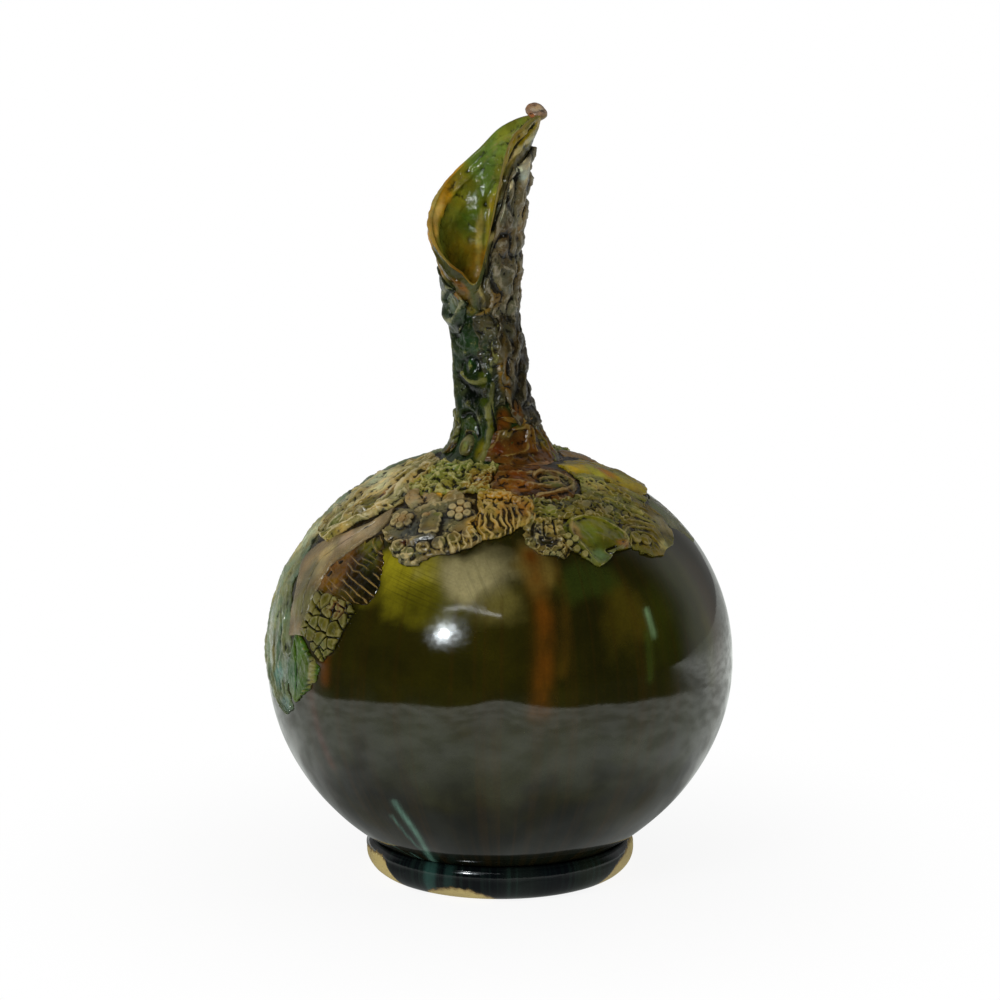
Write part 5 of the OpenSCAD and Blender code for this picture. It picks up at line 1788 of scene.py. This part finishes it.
# Pebble band. Pale pinched clay with bumps and small round holes curves over the
# right shoulder from the root to the fan.
pebble_band_turn = [
    [49.6, 20.4, 41.8, 27], [56.4, 22.4, 46.4, 28], [63, 25, 52, 30], [67, 28.4, 56.5, 33],
    [74, 34.6, 62, 37]
]
pebble_holes = [(50.4, 22.6), (55, 24), (58.6, 25.7), (64.1, 29.6), (62, 31.5), (51, 26), (57, 29.5)]


def pebble_relief(s, v, points):
    ribbon = 0.5 * crests(drawn(s, v, 16, 9), 5, 265) + 1.0 * lumps(drawn(s, v, 18, 9), 7, 261)
    rings = dots(points, pebble_holes, 0.6, 0.8, 1.6)
    return ribbon + rings + dots(points, pebble_holes, 1.1, -1.6) + 0.4 * clouds(points, 4, 263) - 0.8


pebble_coats = [
    (54, 25, 8, 3, "6c6236", 0.8),
    (50, 27.5, 5, 2, "625c34", 0.8),
    (62, 30, 6, 3, "57501c", 0.8),
    (48, 22.6, 5, 2, "4c4c1c", 0.8),
]
pebbles = pressed(
    "pebbled_strip", pebble_band_turn, 1.6, pebble_relief, "5a5220", pebble_coats,
    fine=0.28, spill=(2.6, 3.0),
)
pebble_glaze = clay_glaze("pebble_glaze", "958a4e", "0f0c04", 0.8, 0.8, 0.5, 0.35)
finish_piece(pebbles, pebble_glaze, "moss_glaze", "pebble_band")


# Amber band. A smooth rolled band of amber glaze follows the right shoulder line
# from the neck's root down to the fan.
amber_band_turn = [
    [56, 14.3, 49.4, 19], [82, 14.4, 58, 21.4], [104, 18, 65.6, 24.2], [110, 24, 71, 28.2],
    [106, 31.5, 74, 33]
]


def amber_relief(s, v, points):
    roll = 0.9 * clouds(points, 9, 271) - 1.6 * v**2
    return roll + 0.15 * crests(drawn(s, v, 16, 8), 5, 275) + 0.2 * clouds(points, 2.4, 273, 2)


amber_coats = [
    (60, 18, 8, 4, "86721e", 0.85),
    (70, 21, 6, 3, "7a7622", 0.85),
    (76, 23, 5, 3, "7c540e", 0.85),
    (84, 25, 6, 4, "5a5a1c", 0.8),
    (66, 24.6, 4, 2, "2c2408", 0.8),
]
amber = pressed(
    "amber_roll", amber_band_turn, 2.2, amber_relief, "685a14", amber_coats,
    edge=1.5, spill=(2.0, -1.0),
)
amber_glaze = clay_glaze("amber_glaze", "8c8034", "171002", 0.35, 0.8, 0.3, 0.2)
finish_piece(amber, amber_glaze, "amber_glaze", "amber_band")


# Big leaf. A smooth olive leaf lies low on the right shoulder. It has one long
# crease, a pale rim, a frilled tip and a rust corner.
big_leaf_turn = [
    [26, 34.2, 36, 34.6], [23.2, 38, 43, 38.8], [22.6, 42, 44.6, 43.5], [24, 45.5, 42.5, 46.6],
    [27, 49, 36, 48], [29, 51.5, 31, 51]
]


def leaf_relief(s, v, points):
    rim = [(27, 35.4), (33, 34.6), (39, 37), (43.6, 41), (44.4, 44.4), (40, 46.6), (34.6, 48.6), (30.6, 51)]
    folds = strokes(points, on_shoulder, [
        (rim, 0.9, 0.8),
        ([(27, 35.4), (24.6, 40), (26.6, 45), (29, 50)], 0.9, 0.7),
        ([(36, 49), (34.4, 46.8), (38, 46)], 0.8, -1.4),
    ])
    beads = dots(points, [(22.8, 41), (22.4, 43.4), (24, 45.6), (24.6, 42.4), (26, 47.4)], 1.4, 1.1)
    return folds + beads + 0.7 * clouds(points, 8, 281) + 0.15 * crests(points, 5, 283)


leaf_coats = [
    (36, 38, 6, 4, "45480f", 0.8),
    (26.6, 39, 2, 4, "6e5430", 0.85),
    (31, 41, 4, 5, "4e5018", 0.8),
    (41.6, 45.2, 3.4, 2, "5c3c08", 0.9),
    (30, 48.6, 4, 2.6, "4c5a38", 0.85),
    (35, 48, 2.4, 1.4, "5f6430", 0.8),
    (23, 43.4, 2.4, 4, "5e5a30", 0.85),
]
leaf = pressed(
    "broad_leaf", big_leaf_turn, 1.5, leaf_relief, "424410", leaf_coats,
    fine=0.28, spill=(1.2, 2.4),
)
finish_piece(leaf, clay_glaze("leaf_glaze", "8f8552", "0e0d04", 0.7, 0.5, 0.25), "green_glaze", "big_leaf")


# Fan. Fine curved ridges spread over a pale slab at the right, like a shell, with
# two smooth pads beside it.
fan_slab_turn = [
    [57, 36.4, 70, 35.6], [52, 38.4, 70, 41], [46.8, 42.4, 67, 46], [45.8, 46.2, 62, 49.6], [49, 50, 55, 51]
]


def fan_relief(s, v, points):
    far = reach_from(points, 50, 50)
    arcs = np.cos(2 * math.pi * far / 3.4 + 1.6 * clouds(points, 6, 291, 2))
    pads = dots(points, [(48.2, 44.4), (51.6, 45.8)], 2.8, 1.0)
    arcs = np.clip(arcs, -0.2, 1) * (1 - blend(0.1, 0.6, pads)) * blend(5, 8, far) * (1 - blend(-0.1, 0.5, v))
    return 0.6 * arcs + pads + 0.6 * clouds(points, 7, 293) + 0.3 * crests(points, 5, 295)


fan_coats = [
    (60, 40, 6, 5, "5c5428", 0.8),
    (49, 45, 4, 3, "4c400e", 0.85),
    (56, 46, 4, 4, "46400f", 0.8),
    (66, 42, 4, 5, "66604a", 0.8),
    (58, 48.4, 3, 2, "6e6844", 0.8),
]
fan = pressed(
    "shell_fan", fan_slab_turn, 1.2, fan_relief, "453e14", fan_coats,
    fine=0.28, undercut=0.35, spill=(3.4, 3.6),
)
finish_piece(fan, clay_glaze("fan_glaze", "807448", "120e06", 0.7, 0.7, 0.4, 0.35), "mauve_clay", "fan_slab")


# Point leaf. A pale grey-green leaf hangs from the right shoulder to a blunt point
# past the side of the globe.
point_leaf_turn = [
    [75.5, 35, 90, 34.4], [75.5, 41, 92, 40.5], [79, 47, 91, 47], [85, 53, 88.5, 53]
]


def point_relief(s, v, points):
    lines = 0.15 * crests(drawn(s, v, 12, 8), 4, 303)
    return lines + 0.3 * clouds(points, 8, 301) - 0.4 * v**2


point_leaf = pressed(
    "pointed_leaf", point_leaf_turn, 0.4, point_relief, "44462e", [(84, 46, 6, 6, "55563e", 0.8)],
    undercut=0.2, spill=(0.5, 4.5),
)
finish_piece(
    point_leaf, clay_glaze("point_glaze", "6c6a4c", "20200f", 0.6, 0.5, 0.4, 0.35),
    "green_glaze", "point_leaf",
)


# Back pieces. The photograph doesn't show the back. It is taken to carry on the
# same trail of applied clay: a band, moss, rosettes, a leaf, ribs and a frond.
back_band_turn = [
    [99, 14.4, 123, 14.4], [113, 22, 132, 24], [116, 30, 135, 33], [118, 40, 136, 42], [122, 50, 131, 50.5]
]
back_moss_turn = [
    [128, 14.4, 136, 24.6], [148, 14.2, 151, 25.8], [170, 14.2, 170, 25.8], [194, 14.2, 193, 25.2],
    [216, 14.4, 212, 24.2]
]
back_rosettes_turn = [
    [139, 27, 141, 41], [150, 28, 152, 45], [162, 28.4, 163, 46.5], [174, 28, 174, 45], [187, 26.8, 185.5, 42]
]
back_leaf_turn = [
    [160, 50, 166, 49.4], [157, 54, 172, 53], [158, 59, 173, 58.4], [162, 64, 169, 64], [166, 67.5, 167, 67.5]
]
back_ribs_turn = [
    [190, 28, 216, 26], [189, 34, 216, 32.6], [190, 41, 214, 40], [193, 48, 209, 47], [198, 54, 203, 54]
]
back_frond_turn = [
    [220, 14.6, 264, 14.6], [221, 26, 258, 28], [223, 36, 250, 38], [229, 45, 250, 47], [235, 54, 249, 55],
    [242, 62, 247, 62]
]


def back_rosette_relief(s, v, points):
    discs = [(136, 34), (143, 40), (150, 33), (158, 38), (165, 33), (171, 40), (179, 35)]
    discs = dots(points, discs, 2.4, 1.3)
    rings = dots(points, [(136, 34), (150, 33), (165, 33), (179, 35)], 0.5, -0.7, 1.4)
    rough = 1.0 * lumps(points, 5, 213) + 0.9 * crests(points, 4, 215) + 0.7 * clouds(points, 8, 311) - 1.0
    return rough * (1 - blend(0.1, 1.0, discs)) + discs + rings


def back_leaf_relief(s, v, points):
    vein = stroke(points, on_shoulder, [(163, 50.5), (165, 58), (166.5, 66)], 0.9, 0.9)
    return vein + 0.3 * np.cos(2 * math.pi * (8 * s - 2 * np.abs(v))) + 0.4 * clouds(points, 6, 313)


def back_rib_relief(s, v, points):
    return 1.3 * slanted_ribs(s, v, points, 8, 0.7, 315) - 0.3 + 0.3 * clouds(points, 5, 317)


# Of each piece: name, outline, thickness, relief, ground, coat and other values of its slab,
# then its glaze, slot and node. The band behind wears the frame's own plain amber glaze
back_pieces = [
    ("band_behind", back_band_turn, 2.2, amber_relief, "66500c", (112, 30, 10, 10, "6a5a20", 0.8),
     {"edge": 1.5}, bpy.data.materials["amber_glaze"], "amber_glaze", "back_band"),
    ("moss_behind", back_moss_turn, 2.4, moss_relief, "444c1e", (160, 20, 20, 6, "566028", 0.8),
     {"edge": 1.4}, moss.active_material, "moss_glaze", "back_moss"),
    ("rosettes_behind", back_rosettes_turn, 2.6, back_rosette_relief, "4e4426",
     (155, 36, 20, 6, "6f6038", 0.8), {"edge": 1.5}, rosettes.active_material, "mauve_clay", "back_rosettes"),
    ("leaf_behind", back_leaf_turn, 1.3, back_leaf_relief, "424410", (165, 58, 6, 6, "4e5018", 0.8),
     {}, leaf.active_material, "green_glaze", "back_leaf"),
    ("ribs_behind", back_ribs_turn, 1.3, back_rib_relief, "241a04", (202, 40, 10, 8, "4e3004", 0.8),
     {}, ribbed.active_material, "amber_glaze", "back_ribs"),
    ("frond_behind", back_frond_turn, 1.6, frond_relief, "55604a", (240, 40, 14, 12, "6b6a4c", 0.8),
     {"ragged": 1.2}, frond.active_material, "green_glaze", "back_frond"),
]
for name, table, thick, relief, ground, coat, more, glaze, slot, node in back_pieces:
    finish_piece(pressed(name, table, thick, relief, ground, [coat], **more), glaze, slot, node)


# Stage. The vase stands on a plain pale floor against white, lit by a soft window at
# the front left, a few lamps and pale surroundings, and seen from a little above.
def shining_material(name):
    """Material with no main shader, its node tree and the place of each point"""
    material, tree, surface = new_material(name)
    tree.nodes.remove(surface)
    return material, tree, own_place(tree)


def reach_of(tree, place):
    """Distance of a place from the middle of its sheet"""
    return add(tree, "ShaderNodeVectorMath", {0: place}, operation="LENGTH").outputs["Value"]


def shader_mix(tree, share, first, second):
    """One shader at a share of 0 and another at 1"""
    return add(tree, "ShaderNodeMixShader", {0: share, 1: first.outputs[0], 2: second.outputs[0]})


def floor_material():
    """Pale floor that melts into the white behind it and still takes a soft shadow. Seen in the glaze
    it glows as a painted reflection of a lit table top, dimmed near the vase by a painted shadow
    and dark past the table's edge
    """
    material, tree, place = shining_material("pale_floor")
    split = add(tree, "ShaderNodeSeparateXYZ", {0: place})
    away = reach_of(tree, place)
    matte = add(tree, "ShaderNodeBsdfDiffuse", {"Color": (0.95, 0.95, 0.95, 1)})
    glow = add(tree, "ShaderNodeEmission", {"Color": (1, 1, 1, 1), "Strength": 1.0})
    share = spread(tree, away, 0.05, 0.26, 0.9, 1.0)
    seen = shader_mix(tree, share, matte, glow)
    oval = add(tree, "ShaderNodeVectorMath", {0: place, 1: (1.45, 1, 1)}, operation="MULTIPLY").outputs[0]
    oval = reach_of(tree, oval)
    # Painted shadow: the table seen in the glaze is dimmest near the vase and brightens away from it.
    table_glow_and_shadow = spread(tree, away, 0.09, 0.18, 0.26, 0.72)
    table_glow_and_shadow = sums(tree, "ADD", table_glow_and_shadow, spread(tree, away, 0.18, 0.6, 0.0, 0.4))
    past = spread(tree, split.outputs["Y"], -0.1, 0.3, 0.96, 0.0)
    past = sums(tree, "MULTIPLY", spread(tree, oval, 0.61, 0.66), past)
    shine = sums(tree, "MULTIPLY", table_glow_and_shadow, sums(tree, "SUBTRACT", 1.0, past))
    shine = sums(tree, "MULTIPLY", shine, spread(tree, split.outputs["Y"], 0.25, 0.8, 1.0, 0.5))
    patches = noise(tree, place, 18.0, 8.0)
    shine = sums(tree, "MULTIPLY", shine, spread(tree, patches, 0.34, 0.66, 0.74, 1.26))
    # The floor glows for glossy rays only, a painted reflection of the lit table.
    mirrored = add(tree, "ShaderNodeEmission", {"Color": (0.96, 1, 0.96, 1), "Strength": shine})
    both = shader_mix(tree, add(tree, "ShaderNodeLightPath").outputs["Is Glossy Ray"], seen, mirrored)
    tree.links.new(both.outputs[0], tree.nodes["Material Output"].inputs["Surface"])
    return material


def window_material():
    """Glow of a small soft window, bright in the middle and fading outward"""
    material, tree, place = shining_material("window_glow")
    away = reach_of(tree, place)
    haze = noise(tree, place, 9.0, 5.0)
    away = sums(tree, "ADD", away, spread(tree, haze, 0.2, 0.8, -0.09, 0.09))
    core = spread(tree, away, 0.03, 0.26, 24.0, 0.0)
    tail = spread(tree, away, 0.08, 0.46, 4.6, 0.0)
    strength = sums(tree, "ADD", core, tail)
    glow = add(tree, "ShaderNodeEmission", {"Color": (0.86, 0.95, 1, 1), "Strength": strength})
    clear = add(tree, "ShaderNodeBsdfTransparent")
    both = shader_mix(tree, spread(tree, away, 0.4, 0.46), glow, clear)
    tree.links.new(both.outputs[0], tree.nodes["Material Output"].inputs["Surface"])
    return material


def staged(name, data):
    """Object that belongs to the stage"""
    made = bpy.data.objects.new(name, data)
    bpy.context.scene.collection.objects.link(made)
    return made


def sheet(name, left, right, front, back, material):
    """Flat level sheet"""
    mesh = bpy.data.meshes.new(name)
    corners = [(left, front, 0), (right, front, 0), (right, back, 0), (left, back, 0)]
    mesh.from_pydata(corners, [], [(0, 1, 2, 3)])
    mesh.materials.append(material)
    return staged(name, mesh)


# Turn and rise of the window, and the height that lamps and window face, in metres
window_side = (-29.4, 27.2)
aim_high = 0.14


def aim(made, turn, rise, distance):
    """Puts a lamp or sheet at a turn and a rise, facing the middle of the vase"""
    turn, rise = math.radians(turn), math.radians(rise)
    away = Vector((math.sin(turn) * math.cos(rise), -math.cos(turn) * math.cos(rise), math.sin(rise)))
    made.location = Vector((0, 0, aim_high)) + away * distance
    made.rotation_euler = away.to_track_quat("Z", "Y").to_euler()


def lamp(name, turn, rise, distance, wide, tall, power, colour):
    """Flat lamp that shines on the vase"""
    light = bpy.data.lights.new(name, "AREA")
    light.shape = "RECTANGLE"
    light.size, light.size_y, light.energy, light.color = wide, tall, power, colour
    made = staged(name, light)
    aim(made, turn, rise, distance)
    return made


sheet("floor_sheet", -3, 3, -2, 4, floor_material())
window = sheet("window_sheet", -0.5, 0.5, -0.5, 0.5, window_material())
aim(window, *window_side, 1.99)
window.visible_camera = window.visible_diffuse = window.visible_shadow = False
key_lamp = lamp("key_lamp", -27.6, 29, 2.0, 0.75, 0.75, 18, (1.0, 0.97, 0.93))
key_lamp.visible_glossy = False
lamp("strip_lamp", -17, 40, 2.0, 1.0, 0.05, 0.9, (0.95, 0.98, 1.0))
spark_lamp = lamp("spark_lamp", *window_side, 1.95, 0.12, 0.12, 8, (1.0, 1.0, 1.0))
spark_lamp.visible_diffuse = False
side_lamp = lamp("side_lamp", 80, 14, 1.8, 0.9, 1.4, 6, (0.96, 0.98, 1.0))
side_lamp.visible_glossy = False

world = bpy.data.worlds.new("white_surroundings")
world.use_nodes = True
bpy.context.scene.world = world
sky = world.node_tree
sky_place = add(sky, "ShaderNodeTexCoord").outputs["Generated"]
depth = add(sky, "ShaderNodeSeparateXYZ", {0: sky_place}).outputs["Y"]
behind = spread(sky, depth, 0.1, 0.5, 0.03, 0.4)
behind = sums(sky, "SUBTRACT", behind, spread(sky, depth, 0.6, 0.85, 0.0, 0.2))
paths = add(sky, "ShaderNodeLightPath")
dim = add(sky, "ShaderNodeMix", {0: paths.outputs["Is Glossy Ray"], 2: 0.36, 3: behind})
lit = add(sky, "ShaderNodeMix", {0: paths.outputs["Is Camera Ray"], 2: dim.outputs[0], 3: 1.0})
sky.links.new(lit.outputs[0], sky.nodes["Background"].inputs["Strength"])
sky.nodes["Background"].inputs["Color"].default_value = (1, 1, 1, 1)

view_rise = math.radians(10.5)
view_far = 1.5
target = Vector((0, 0, 0.1621))
camera_data = bpy.data.cameras.new("front_camera")
camera_data.lens, camera_data.sensor_width = 126.5, 36
camera = bpy.data.objects.new("front_camera", camera_data)
camera.location = target + view_far * Vector((0, -math.cos(view_rise), math.sin(view_rise)))
camera.rotation_euler = (math.pi / 2 - view_rise, 0, 0)
bpy.context.scene.collection.objects.link(camera)
bpy.context.scene.camera = camera
bpy.context.scene.view_settings.view_transform = "Standard"
